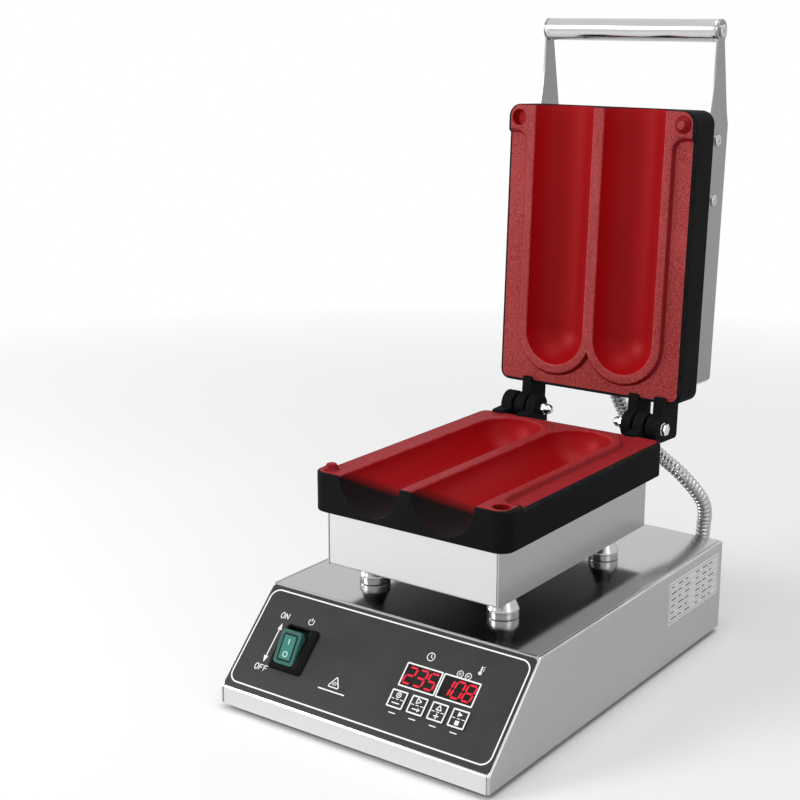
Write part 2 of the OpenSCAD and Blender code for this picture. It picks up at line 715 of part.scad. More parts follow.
module lower_plate() color("#7a1f22") translate([0, plate_y0, part_z])
    cast_plate(plate_h, box_inset, box_d, box_w);
module upper_plate() color("#8f2a2c")
    lid_pose() translate([0, plate_y0, upper_z0]) rotate([0, 180, 0])
        cast_plate(upper_plate_h, lid_inset, lid_d, lid_w);

// A hinge bolt is entered from the outer side, and its cap nut sits inside
module hinge_bolt(side) color("silver")
    translate([side * outer_end, hinge_y, hinge_z]) rotate([0, -side * 90, 0]) {
        translate([0, 0, -bolt_head_h]) cylinder(r = 1.92 * hinge_bolt_r, h = bolt_head_h, $fn = 6);
        cylinder(r = hinge_bolt_r, h = outer_end - ear_start + 4);
    }
module hinge_bolt_left() hinge_bolt(-1);
module hinge_bolt_right() hinge_bolt(1);

module hinge_nut(side) color("silver")
    translate([side * ear_start, hinge_y, hinge_z]) rotate([0, -side * 90, 0]) difference() {
        union() {
            cylinder(r = 1.92 * hinge_bolt_r, h = 5.5, $fn = 6);
            cylinder(r = 1.55 * hinge_bolt_r, h = 8);
            translate([0, 0, 8]) sphere(r = 1.55 * hinge_bolt_r);
        }
        translate([0, 0, -cut]) cylinder(r = hinge_bolt_r + run_gap, h = 5.2 + cut);
    }
module hinge_nut_left() hinge_nut(-1);
module hinge_nut_right() hinge_nut(1);

// ---------- lid ----------

module upper_heater() color("dimgray") behind_upper() heater(lid_inset, lid_d);
module upper_heat_shield() color("gray") behind_upper() heat_shield(lid_inset, lid_d);
module upper_insulation() color("beige") behind_upper() wool(lid_inset, lid_d, lid_h);
module upper_probe() color("silver") behind_upper() probe(lid_inset, lid_d);
module upper_plate_screws() color("silver") behind_upper() plate_screws(lid_inset, lid_d, lid_w);

module upper_housing() color("silver") lid_pose() difference() {
    translate([-lid_w / 2, lid_y0, lid_z0]) cube([lid_w, lid_d, lid_h]);
    translate([-lid_w / 2 + sheet_t, lid_y0 + sheet_t, lid_z0 + sheet_t])
        cube([lid_w - 2 * sheet_t, lid_d - 2 * sheet_t, lid_h - 2 * sheet_t]);
    translate([-lid_w / 2 + flange_w + sheet_t, lid_y0 + sheet_t, lid_z0 - cut])
        cube([lid_w - 2 * flange_w - 2 * sheet_t, lid_d - 2 * sheet_t, sheet_t + 2 * cut]);
    for (side = [-1, 1], y = screw_rows(lid_inset, lid_d))
        translate([side * (lid_w / 2 - flange_screw), plate_y0 + y, lid_z0 - cut])
            cylinder(r = plate_screw_r + hole_gap, h = sheet_t + 2 * cut);
    for (i = [0, 1]) translate([-lid_w / 2 - cut, arm_screw_y + i * arm_screw_pitch, arm_screw_z])
        rotate([0, 90, 0]) cylinder(r = arm_screw_r + hole_gap, h = lid_w + 2 * cut);
    translate([0, lid_y1 + cut, lid_z0 + lid_h / 2]) rotate([90, 0, 0])
        cylinder(r = conduit_r + 1 + hole_gap, h = sheet_t + 2 * cut);
}

// A handle arm: a round eye on the bar, a tapering neck and a strip along the whole housing
module arm(side) color("lightgray") lid_pose() difference() {
    from_side(side * lid_w / 2 - (side > 0 ? 0 : arm_t), arm_t) union() {
        translate([handle_y, handle_z]) circle(handle_r);
        polygon([[handle_y, handle_z - arm_neck_low], [handle_y + arm_neck_l, handle_z - arm_neck_low],
            [lid_y0, arm_low], [lid_y1 - arm_rear, arm_low], [lid_y1 - arm_rear, arm_top],
            [lid_y0 + 2, arm_top], [lid_y0 - 2, arm_top - 1], [lid_y0 - 10, arm_top - 4],
            [handle_y + arm_neck_high, handle_z + arm_neck_high], [handle_y, handle_z]]);
    }
    translate([side * lid_w / 2 - arm_t - cut, handle_y, handle_z]) rotate([0, 90, 0])
        cylinder(r = arm_screw_r + hole_gap, h = 2 * arm_t + 2 * cut);
    for (i = [0, 1])
        translate([side * lid_w / 2 - arm_t - cut, arm_screw_y + i * arm_screw_pitch, arm_screw_z])
            rotate([0, 90, 0]) cylinder(r = arm_screw_r + hole_gap, h = 2 * arm_t + 2 * cut);
}
module arm_left() arm(-1);
module arm_right() arm(1);

// Pan-head screws through the arms into the upper housing, each with a nut inside
module arm_screws() color("silver") lid_pose() for (side = [-1, 1], i = [0, 1])
    translate([side * (lid_w / 2 + arm_t), arm_screw_y + i * arm_screw_pitch, arm_screw_z])
        rotate([0, -side * 90, 0]) {
            pan_screw(arm_screw_r, 1.9 * arm_screw_r, screw_head_h, arm_t + sheet_t + 5);
            translate([0, 0, arm_t + sheet_t])
                cylinder(r = 1.8 * arm_screw_r, h = 4, $fn = 6);
        }

handle_tap_l = 14;
module handle_bar() color("white") lid_pose() translate([-lid_w / 2, handle_y, handle_z])
    rotate([0, 90, 0]) difference() {
        cylinder(r = handle_r, h = lid_w);
        for (z = [-cut, lid_w - handle_tap_l]) translate([0, 0, z])
            cylinder(r = arm_screw_r + hole_gap, h = handle_tap_l + cut);
    }

module handle_screws() color("silver") lid_pose() for (side = [-1, 1])
    translate([side * (lid_w / 2 + arm_t), handle_y, handle_z]) rotate([0, -side * 90, 0])
        pan_screw(arm_screw_r, 2.1 * arm_screw_r, screw_head_h, arm_t + handle_tap_l - 2);

// ---------- conduit ----------

sides = 12;
function unit(a) = a / norm(a);
function route_dir(i) = i == 0 ? [0, 1, 0] : i == len(route) - 1 ? [0, 0, 1]
    : unit(route[i + 1] - route[i - 1]);
function across(i) = unit(cross(route_dir(i), [1, 0.2, 1]));
function ring(i) = let(a = across(i), b = cross(route_dir(i), a))
    [for (k = [0:sides - 1]) route[i] + conduit_r * (cos(k * 360 / sides) * a
        + sin(k * 360 / sides) * b)];

// A tube swept along the route, one ring of points at each of the route's own points
module conduit() color("silver") polyhedron(
    points = [for (i = [0:len(route) - 1]) each ring(i)],
    faces = concat([[for (k = [0:sides - 1]) k]],
        [for (i = [0:len(route) - 2], k = [0:sides - 1]) let(n = (k + 1) % sides)
            each [[i * sides + k, (i + 1) * sides + k, (i + 1) * sides + n],
                [i * sides + k, (i + 1) * sides + n, i * sides + n]]],
        [[for (k = [sides - 1:-1:0]) (len(route) - 1) * sides + k]]));

base_shell();
side_panel_left();
side_panel_right();
bottom_plate();
foot_front_left();
foot_front_right();
foot_rear_left();
foot_rear_right();
foot_screws();
panel_overlay();
key_set();
key_next();
key_up();
key_start();
switch_housing();
switch_rocker();
displays();
display_lenses();
indicator_leds();
control_board();
tact_switches();
board_standoffs();
transformer();
relay();
terminal_block();
mains_gland();
rating_plate();
pillar_front_left();
pillar_front_right();
pillar_rear_left();
pillar_rear_right();
pillar_bolts();
lower_housing();
lower_side_left();
lower_side_right();
lower_insulation();
lower_heat_shield();
lower_heater();
lower_probe();
lower_plate();
lower_plate_screws();
hinge_bolt_left();
hinge_bolt_right();
hinge_nut_left();
hinge_nut_right();
upper_plate();
upper_heater();
upper_heat_shield();
upper_insulation();
upper_probe();
upper_housing();
upper_plate_screws();
arm_left();
arm_right();
arm_screws();
handle_bar();
handle_screws();
base_connector();
conduit();
lid_connector();
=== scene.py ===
"""Dress of a countertop press with two half-round channels: its shapes, finishes, light and camera.

Lengths are in millimetres until a mesh is made. The axes are those of the frame: x to the right,
y to the rear, z up, and the origin under the middle of the case.
"""

import json
import logging
import math
from collections.abc import Callable
from dataclasses import dataclass
from enum import Enum, IntEnum

import bmesh
import bpy
import numpy as np
from bpy.types import Material, Mesh, Node, NodeSocket, NodeTree, Object
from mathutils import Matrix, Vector

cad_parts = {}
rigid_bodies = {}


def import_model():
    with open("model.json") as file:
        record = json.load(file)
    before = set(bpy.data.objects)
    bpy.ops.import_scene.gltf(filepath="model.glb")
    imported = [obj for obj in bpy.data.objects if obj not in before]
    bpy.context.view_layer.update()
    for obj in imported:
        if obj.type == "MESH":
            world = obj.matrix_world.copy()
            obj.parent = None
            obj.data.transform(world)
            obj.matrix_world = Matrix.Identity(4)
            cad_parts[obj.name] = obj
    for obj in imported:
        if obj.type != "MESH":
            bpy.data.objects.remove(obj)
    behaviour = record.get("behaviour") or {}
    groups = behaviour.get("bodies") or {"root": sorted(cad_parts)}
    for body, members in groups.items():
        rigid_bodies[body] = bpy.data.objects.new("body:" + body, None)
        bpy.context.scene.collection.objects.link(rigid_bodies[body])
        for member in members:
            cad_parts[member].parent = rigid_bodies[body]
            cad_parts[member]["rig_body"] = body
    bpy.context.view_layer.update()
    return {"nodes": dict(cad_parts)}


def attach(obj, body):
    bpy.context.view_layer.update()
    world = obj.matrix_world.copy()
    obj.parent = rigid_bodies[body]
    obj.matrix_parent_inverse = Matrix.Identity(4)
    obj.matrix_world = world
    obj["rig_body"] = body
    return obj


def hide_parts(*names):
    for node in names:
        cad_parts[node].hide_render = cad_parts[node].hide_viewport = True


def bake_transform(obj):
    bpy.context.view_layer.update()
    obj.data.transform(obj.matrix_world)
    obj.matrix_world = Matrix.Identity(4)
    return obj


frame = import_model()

MM = 0.001
LOG = logging.getLogger("press")
Rows = np.ndarray
Placing = Callable[[Rows], Rows]
joined = np.concatenate
Point = tuple[float, float, float]
Colour = tuple[float, float, float]
Pair = tuple[float, float]
Profile = tuple[Pair, ...]

# Levels and depths that several pieces share.
CASE_FRONT, CASE_REAR, CASE_LOW, CASE_TOP = -185.0, 185.0, 4.0, 84.0
CASE_LIP = 14.0
HINGE_Y, HINGE_Z = 154.2, 183.0
PLATE_FRONT = -112.8
LOWER_FACE, UPPER_FACE = 182.8, 183.2
LID_REAR = 124.3

# The angle in degrees above which an edge stays sharp, and the weight of large faces in the normals.
SHARP, EVEN_WEIGHT = 38.0, 90
# Points closer than this, and edges shorter than half of it, become one, in metres.
MERGE = 4e-6
SIDES = ((-1, "left"), (1, "right"))
WHITE = (1.0, 1.0, 1.0, 1.0)


# ---------- where things stand ----------


@dataclass(frozen=True)
class Place:
    """A set of local axes: origin in millimetres, and one unit vector for each local axis."""

    origin: Point
    across: Point = (1.0, 0.0, 0.0)
    along: Point = (0.0, 1.0, 0.0)
    out: Point = (0.0, 0.0, 1.0)

    def __call__(self, points: Rows) -> Rows:
        """Points drawn in the local axes, moved to the frame: origin plus coordinates times axes."""
        return np.asarray(points, float) @ np.array([self.across, self.along, self.out]) + self.origin


@dataclass(frozen=True)
class Opened:
    """Turns what is drawn with the lid closed about the hinge axis to its open rest position."""

    inner: Placing
    angle: float = 92.5

    def __call__(self, points: Rows) -> Rows:
        """Points of the closed lid turned up and back: y' = y cos a + z sin a, z' = z cos a - y sin a.

        Args:
            points: points in the inner axes.

        Returns:
            The points in the frame, about the hinge axis.
        """
        axis = (0.0, HINGE_Y, HINGE_Z)
        p = self.inner(points) - axis
        c, s = math.cos(math.radians(self.angle)), math.sin(math.radians(self.angle))
        turned = np.stack([p[..., 0], p[..., 1] * c + p[..., 2] * s, p[..., 2] * c - p[..., 1] * s], -1)
        return turned + axis


@dataclass(frozen=True)
class TurnedOver:
    """Places a plate that is drawn as the lower one as the upper one of the open lid."""

    def __call__(self, points: Rows) -> Rows:
        """(x, y, z) becomes (-x, front + y, face - z), turned open.

        Args:
            points: points of the plate as drawn.

        Returns:
            The points in the frame.
        """
        p = np.asarray(points, float)
        turned = np.stack([-p[..., 0], p[..., 1] + PLATE_FRONT, UPPER_FACE - p[..., 2]], -1)
        return Opened(STANDING)(turned)


ROOT_HALF = math.sqrt(0.5)
STANDING = Place((0.0, 0.0, 0.0))
PANEL = Place((0.0, CASE_FRONT, CASE_LOW + CASE_LIP), (1.0, 0.0, 0.0), (0.0, ROOT_HALF, ROOT_HALF),
              (0.0, -ROOT_HALF, ROOT_HALF))
# Axes for an outline drawn in the side view: local x is y, local y is z, local z is x.
SIDE_VIEW = Place((0.0, 0.0, 0.0), (0.0, 1.0, 0.0), (0.0, 0.0, 1.0), (1.0, 0.0, 0.0))


def facing_rear(x: float, y: float, z: float) -> Place:
    """Axes of a turned part that points to the rear."""
    return Place((x, y, z), (-1.0, 0.0, 0.0), (0.0, 0.0, 1.0), (0.0, 1.0, 0.0))


def facing_out(side: int, x: float, y: float, z: float) -> Place:
    """Axes of a turned part that points to the left where side is -1, and to the right where it is 1."""
    return Place((x, y, z), (0.0, float(side), 0.0), (0.0, 0.0, 1.0), (float(side), 0.0, 0.0))


# ---------- outlines and surfaces ----------


def corner_offsets(outline: Rows) -> Rows:
    """Outward offset vectors of a closed outline that runs anticlockwise.

    Each is the sum of the two neighbouring edges' outward normals over one plus their dot product,
    so a corner moved by r times it keeps both edges r away from where they were.

    Args:
        outline: the outline's points.

    Returns:
        One vector for each point.
    """
    edge = np.roll(outline, -1, axis=0) - outline
    unit = edge / np.linalg.norm(edge, axis=1, keepdims=True)
    after = np.stack([unit[:, 1], -unit[:, 0]], 1)
    before = np.roll(after, 1, axis=0)
    return (before + after) / (1.0 + np.sum(before * after, axis=1, keepdims=True))


def rounded(corners: Rows, radius: float | Rows, steps: int = 5) -> Rows:
    """Closed outline with a round at each corner.

    A round starts r tan(turn / 2) before its corner, and its points are the centre plus the radius
    turned in equal steps through the corner's turning angle.

    Args:
        corners: the corners, in order.
        radius: one radius, or one for each corner.
        steps: segments in each round.

    Returns:
        The outline's points.
    """
    p = np.asarray(corners, float)
    r = np.broadcast_to(np.asarray(radius, float), len(p))[:, None]
    a = p - np.roll(p, 1, axis=0)
    b = np.roll(p, -1, axis=0) - p
    a, b = a / np.linalg.norm(a, axis=1, keepdims=True), b / np.linalg.norm(b, axis=1, keepdims=True)
    turn = np.arctan2(a[:, 0] * b[:, 1] - a[:, 1] * b[:, 0], np.sum(a * b, 1))[:, None]
    side = np.sign(turn)
    left = np.stack([-a[:, 1], a[:, 0]], 1) * side * r
    centre = p - a * r * np.tan(np.abs(turn) / 2) + left
    spin = turn * np.linspace(0.0, 1.0, steps + 1)[None, :]
    x = centre[:, :1] - left[:, :1] * np.cos(spin) + left[:, 1:] * np.sin(spin)
    y = centre[:, 1:] - left[:, :1] * np.sin(spin) - left[:, 1:] * np.cos(spin)
    return np.stack([x, y], -1).reshape(-1, 2)


def box_outline(w: float, l: float, r: float, x: float = 0.0, y: float = 0.0, steps: int = 5) -> Rows:
    """Rectangle w by l with corners of radius r, centred on (x, y)."""
    half = np.array([[1, -1], [1, 1], [-1, 1], [-1, -1]]) * (w / 2, l / 2)
    return rounded(half + (x, y), r, steps)


def on_circle(angle: Rows, r: float | Rows = 1.0, x: float = 0.0, y: float = 0.0) -> Rows:
    """Points at angles on a circle of radius r about (x, y)."""
    return np.stack([x + r * np.cos(angle), y + r * np.sin(angle)], -1)


def ring_outline(r: float, x: float = 0.0, y: float = 0.0, count: int = 40) -> Rows:
    """Circle of radius r about (x, y)."""
    return on_circle(np.arange(count) * 2 * np.pi / count, r, x, y)


def each(vector: tuple[float, ...], count: int) -> Rows:
    """A vector repeated in rows."""
    return np.tile(vector, (count, 1))


def drawn_in(outline: Rows, inset: Rows) -> Rows:
    """Rows of a flat outline, each moved inwards by its own distance."""
    return outline[None] - inset[:, None, None] * corner_offsets(outline)[None]


def at_height(outline: Rows, z: float) -> Rows:
    """A flat outline raised to z."""
    return np.column_stack([outline, np.full(len(outline), z)])


def at_heights(flat: Rows, z: Rows) -> Rows:
    """Rows of flat outlines, each raised to its own height."""
    return joined([flat, np.broadcast_to(z[:, None, None], flat.shape[:2] + (1,))], -1)


def quarter(steps: int) -> Rows:
    """Angles from 0 to a right angle in equal steps."""
    return np.linspace(0.0, np.pi / 2, steps + 1)


class Shell:
    """Surfaces of one piece, gathered until its mesh is made.

    Each face has a mark, the number of its finish, and each point an edge value from 0 to 1 that
    tells where the piece wears.
    """

    def __init__(self) -> None:
        """Starts empty."""
        self.points: list[Rows] = []
        self.edges: list[Rows] = []
        self.faces: list[list[int]] = []
        self.marks: list[int] = []
        self.count = 0

    def _add(self, points: Rows, edge: Rows) -> Rows:
        """Keeps points and their edge values.

        Args:
            points: points in an array of any shape by 3.
            edge: one wear value, or one for each point.

        Returns:
            The points' numbers.
        """
        flat = np.asarray(points, float).reshape(-1, 3)
        self.points.append(flat)
        self.edges.append(np.broadcast_to(edge, flat.shape[:1]).astype(float))
        self.count += len(flat)
        return np.arange(self.count - len(flat), self.count)

    def grid(self, points: Rows, close_rows: bool = False, close_columns: bool = False,
             mark: int | Rows = 0, edge: Rows | float = 0.0) -> "Shell":
        """Four-sided faces between the neighbours of a grid of points.

        Args:
            points: array of rows by columns by 3.
            close_rows: the last row joins the first.
            close_columns: the last column joins the first.
            mark: one finish number, or one for each face.
            edge: one wear value, one for each row of points, or a row of one for each column.

        Returns:
            This shell.
        """
        n, m = points.shape[:2]
        wear = np.asarray(edge, float)
        wear = wear[:, None] if wear.ndim == 1 else wear
        index = self._add(points, np.broadcast_to(wear, (n, m)).ravel()).reshape(n, m)
        index = np.vstack([index, index[:1]]) if close_rows else index
        index = np.hstack([index, index[:, :1]]) if close_columns else index
        quads = np.stack([index[:-1, :-1], index[1:, :-1], index[1:, 1:], index[:-1, 1:]], -1)
        self.faces += quads.reshape(-1, 4).tolist()
        self.marks += np.broadcast_to(mark, quads.shape[:2]).ravel().tolist()
        return self

    def cap(self, ring: Rows) -> "Shell":
        """One flat face over a ring of points.

        Args:
            ring: the points, in order.

        Returns:
            This shell.
        """
        self.faces.append(self._add(ring, np.zeros(1)).tolist())
        self.marks.append(0)
        return self

    def loft(self, rows: Rows, edge: Rows | float = 0.0) -> "Shell":
        """A tube through rows of rings, with a flat face over each end."""
        self.grid(rows, close_columns=True, edge=edge)
        return self.cap(rows[0]).cap(rows[-1])

    def prism(self, outline: Rows, low: float, high: float, place: Placing = STANDING,
              rim: float | Pair = 0.4, steps: int = 3) -> "Shell":
        """A slab of an outline, with its two rims rounded.

        On a rim of radius r the outline moves in by r (1 - sin a) while the height runs over
        r (1 - cos a), for a from 0 to a right angle.

        Args:
            outline: its outline, in the place's first two axes.
            low: where it starts along the third.
            high: where it ends.
            place: its axes.
            rim: the radius of both rims, or of the low and the high one.
            steps: segments in each rim.

        Returns:
            This shell.
        """
        r0, r1 = rim if isinstance(rim, tuple) else (rim, rim)
        a = quarter(steps)
        inset = joined([r0 * (1 - np.sin(a)), r1 * (1 - np.sin(a[::-1]))])
        height = joined([low + r0 * (1 - np.cos(a)), high - r1 * (1 - np.cos(a[::-1]))])
        wear = joined([np.sin(2 * a) ** 0.5, np.sin(2 * a[::-1]) ** 0.5]).clip(0, 1)
        return self.loft(place(at_heights(drawn_in(outline, inset), height)), wear)

    def lathe(self, profile: Rows, place: Placing = STANDING, count: int = 48, mark: int = 0,
              closed: bool = True) -> "Shell":
        """A profile of radius and height turned about the local z axis: (r cos t, r sin t, h).

        Args:
            profile: radius and height of each point.
            place: its axes.
            count: segments round it.
            mark: its finish number.
            closed: the profile's last point joins its first.

        Returns:
            This shell.
        """
        t = np.arange(count) * 2 * np.pi / count
        r, h = profile[:, :1], profile[:, 1:]
        rows = np.stack([r * np.cos(t), r * np.sin(t), np.broadcast_to(h, (len(h), count))], -1)
        return self.grid(place(rows), close_rows=closed, close_columns=True, mark=mark)

    def ribbon(self, path: Rows, width: float, low: float, high: float, place: Placing = STANDING,
               closed: bool = False) -> "Shell":
        """A flat strip along a path: the path moved half the width to either side, low and high.

        Args:
            path: the middle of the strip, in the place's first two axes.
            width: its width.
            low: where it starts along the third axis.
            high: where it ends.
            place: its axes.
            closed: the path's last point joins its first.

        Returns:
            This shell.
        """
        if closed:
            aside = corner_offsets(path) * width / 2
        else:
            d = np.gradient(path, axis=0)
            d = d / np.linalg.norm(d, axis=1, keepdims=True)
            aside = np.stack([d[:, 1], -d[:, 0]], 1) * width / 2
        left, right = path - aside, path + aside
        rows = np.stack([at_height(left, low), at_height(left, high), at_height(right, high),
                         at_height(right, low)], 1)
        rows = place(rows)
        self.grid(rows, close_rows=closed, close_columns=True)
        return self if closed else self.cap(rows[0]).cap(rows[-1])

    def join(self, other: "Shell") -> "Shell":
        """Takes over another shell's surfaces.

        Args:
            other: the shell to add.

        Returns:
            This shell.
        """
        shift = self.count
        self.points += other.points
        self.edges += other.edges
        self.faces += [[i + shift for i in face] for face in other.faces]
        self.marks += other.marks
        self.count += other.count
        return self

    def placed(self, place: Placing, turned: bool = False) -> "Shell":
        """A copy moved to a place.

        Args:
            place: where each point goes.
            turned: each face's order is reversed.

        Returns:
            The copy.
        """
        made = Shell()
        made.points, made.edges, made.count = [place(p) for p in self.points], list(self.edges), self.count
        made.faces = [face[::-1] if turned else list(face) for face in self.faces]
        made.marks = list(self.marks)
        return made

    def mirrored(self) -> "Shell":
        """A copy with x reversed and its faces turned so that they still point outwards."""
        return self.placed(lambda p: p * (-1.0, 1.0, 1.0), turned=True)

    def on_side(self, hand: int) -> "Shell":
        """This shell, drawn for the right side, or its mirror image for the left, where hand is -1."""
        return self if hand > 0 else self.mirrored()

    def marked_where(self, axis: int, limit: float) -> "Shell":
        """Gives mark 1 to the faces that lie below a limit along an axis, and mark 0 to the others.

        Args:
            axis: 0, 1 or 2 for x, y or z.
            limit: every point of such a face is below it.

        Returns:
            This shell.
        """
        value = joined(self.points)[:, axis]
        self.marks = [int(value[face].max() < limit) for face in self.faces]
        return self


def make_mesh(name: str, shell: Shell, sharp: float = SHARP) -> Mesh:
    """A mesh from a shell: doubles merged, normals outward, edges sharper than an angle kept sharp.

    Args:
        name: the mesh's name.
        shell: the surfaces, in millimetres.
        sharp: that angle, in degrees.

    Returns:
        The mesh, in metres, with a point attribute named edge.
    """
    mesh = bpy.data.meshes.new(name)
    mesh.from_pydata((joined(shell.points) * MM).tolist(), [], shell.faces)
    mesh.polygons.foreach_set("material_index", np.array(shell.marks, np.int32))
    wear = mesh.attributes.new("edge", "FLOAT", "POINT")
    wear.data.foreach_set("value", joined(shell.edges).astype(np.float32))
    bm = bmesh.new()
    bm.from_mesh(mesh)
    bmesh.ops.remove_doubles(bm, verts=bm.verts, dist=MERGE)
    bmesh.ops.dissolve_degenerate(bm, edges=bm.edges, dist=MERGE / 2)
    bmesh.ops.recalc_face_normals(bm, faces=bm.faces)
    bm.to_mesh(mesh)
    bm.free()
    mesh.validate()
    mesh.shade_smooth()
    mesh.set_sharp_from_angle(angle=math.radians(sharp))
    return mesh


def even_faces(obj: Object) -> None:
    """Keeps the normals of large faces flat next to their rounds."""
    smooth = obj.modifiers.new("even_faces", "WEIGHTED_NORMAL")
    smooth.keep_sharp, smooth.weight = True, EVEN_WEIGHT


def set_up(name: str, shell: Shell, finishes: "Finish | list[Finish]", body: str = "base",
           stands_for: tuple[str, ...] = (), sharp: float = SHARP,
           weighted: bool = True) -> Object:
    """Makes one piece of the press and hangs it on its body.

    Args:
        name: the piece's name.
        shell: its surfaces.
        finishes: its finish, or one for each mark.
        body: the body that it moves with.
        stands_for: the construction nodes that it is shown for.
        sharp: the angle above which an edge stays sharp, in degrees.
        weighted: large faces keep flat normals next to their rounds.

    Returns:
        The object.
    """
    obj = bpy.data.objects.new(name, make_mesh(name, shell, sharp))
    bpy.context.scene.collection.objects.link(obj)
    for finish in finishes if isinstance(finishes, list) else [finishes]:
        obj.data.materials.append(finish.material())
    if weighted:
        even_faces(obj)
    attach(obj, body)
    if stands_for:
        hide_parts(*stands_for)
    LOG.info("%s: %d faces on %s", name, len(obj.data.polygons), body)
    return obj


def dress(node: str, finish: "Finish") -> None:
    """Gives a construction node its finish.

    Args:
        node: the node's name.
        finish: its finish.
    """
    obj = frame["nodes"][node]
    obj.data.materials.clear()
    obj.data.materials.append(finish.material())
    LOG.info("%s: dressed as %s", node, finish.title)


# ---------- finishes ----------


class Net:
    """Short calls for a node tree."""

    def __init__(self, tree: NodeTree) -> None:
        """Keeps the tree."""
        self.tree = tree

    def socket(self, name: str, into: bool, value: float | Point | None = None) -> None:
        """Adds a socket to a node group.

        Args:
            name: its name.
            into: it is an input.
            value: its default; a vector makes a vector socket.
        """
        vector = isinstance(value, tuple)
        made = self.tree.interface.new_socket(name, in_out="INPUT" if into else "OUTPUT",
                                              socket_type="NodeSocketVector" if vector else "NodeSocketFloat")
        if value is not None:
            made.default_value = value

    def node(self, kind: str, inputs: dict | None = None, **settings: object) -> Node:
        """Adds a node.

        Args:
            kind: the node's type.
            inputs: its inputs, each set to a value or linked to a socket.
            settings: its other settings, set first.

        Returns:
            The node.
        """
        made = self.tree.nodes.new(kind)
        for key, value in settings.items():
            setattr(made, key, value)
        for key, value in (inputs or {}).items():
            self.put(made.inputs[key], value)
        return made

    def put(self, socket: NodeSocket, value: object) -> None:
        """Links a socket to another, or sets its value.

        Args:
            socket: an input.
            value: an output, or a number or colour.
        """
        if isinstance(value, NodeSocket):
            self.tree.links.new(value, socket)
        else:
            socket.default_value = value

    def math(self, operation: str, a: object, b: object = 0.0, clamp: bool = False) -> NodeSocket:
        """The output of a Math node."""
        return self.node("ShaderNodeMath", {0: a, 1: b}, operation=operation, use_clamp=clamp).outputs[0]

    def spread(self, value: object, low: float, high: float, to_low: float = 0.0,
               to_high: float = 1.0) -> NodeSocket:
        """Value carried from low..high to to_low..to_high, clamped."""
        return self.node("ShaderNodeMapRange", {"Value": value, "From Min": low, "From Max": high,
                                                "To Min": to_low, "To Max": to_high}).outputs["Result"]

    def noise(self, vector: NodeSocket, scale: object, detail: float, roughness: float = 0.5) -> NodeSocket:
        """Noise from 0 to 1."""
        return self.node("ShaderNodeTexNoise", {"Vector": vector, "Scale": scale, "Detail": detail,
                                                "Roughness": roughness}).outputs["Fac"]

    def blend(self, amount: object, a: NodeSocket | Colour, b: NodeSocket | Colour) -> NodeSocket:
        """Colour a at 0 and colour b at 1."""
        a, b = (value if isinstance(value, NodeSocket) else (*value, 1.0) for value in (a, b))
        return self.node("ShaderNodeMix", {0: amount, 6: a, 7: b}, data_type="RGBA").outputs[2]


class Effect(Enum):
    """The shared effects, each one shader node group."""

    GRAIN = "Directional grain"
    CLOUD = "Uneven patches"
    SPECKLE = "Fine speckle"
    WEAR = "Worn edges"


EFFECT_INPUTS = {
    Effect.GRAIN: {"Stretch": (20.0, 1500.0, 1500.0)},
    Effect.CLOUD: {"Size": 20.0, "Contrast": 0.2},
    Effect.SPECKLE: {"Size": 20.0, "Contrast": 0.2},
    Effect.WEAR: {"Size": 90.0, "Amount": 0.6},
}


def effect_group(effect: Effect) -> NodeTree:
    """The node group of an effect, built once.

    GRAIN stretches noise by a factor for each axis. CLOUD is slow noise and SPECKLE fast noise, both
    spread about the middle by the contrast. WEAR breaks the edge attribute up with noise.

    Args:
        effect: the effect.

    Returns:
        Its group, with the outputs Mask and Height.
    """
    if effect.value in bpy.data.node_groups:
        return bpy.data.node_groups[effect.value]
    net = Net(bpy.data.node_groups.new(effect.value, "ShaderNodeTree"))
    net.socket("Vector", True, (0.0, 0.0, 0.0))
    for name, value in EFFECT_INPUTS[effect].items():
        net.socket(name, True, value)
    net.socket("Mask", False)
    net.socket("Height", False)
    given, out = net.node("NodeGroupInput").outputs, net.node("NodeGroupOutput").inputs
    if effect is Effect.GRAIN:
        drawn = net.node("ShaderNodeVectorMath", {0: given["Vector"], 1: given["Stretch"]},
                         operation="MULTIPLY")
        height = net.noise(drawn.outputs[0], 1.0, 3.0, 0.62)
        mask = net.spread(height, 0.3, 0.7)
    elif effect is Effect.WEAR:
        wear = net.node("ShaderNodeAttribute", attribute_name="edge",
                        attribute_type="GEOMETRY").outputs["Fac"]
        height = net.spread(net.noise(given["Vector"], given["Size"], 4.0), 0.3, 0.75)
        mask = net.math("MULTIPLY", net.math("MULTIPLY", wear, height), given["Amount"], clamp=True)
    else:
        height = net.noise(given["Vector"], given["Size"], 3.0 if effect is Effect.CLOUD else 2.0, 0.55)
        scaled = net.math("DIVIDE", net.math("SUBTRACT", height, 0.5), given["Contrast"])
        mask = net.math("ADD", scaled, 0.5, clamp=True)
    net.put(out["Mask"], mask)
    net.put(out["Height"], height)
    return net.tree


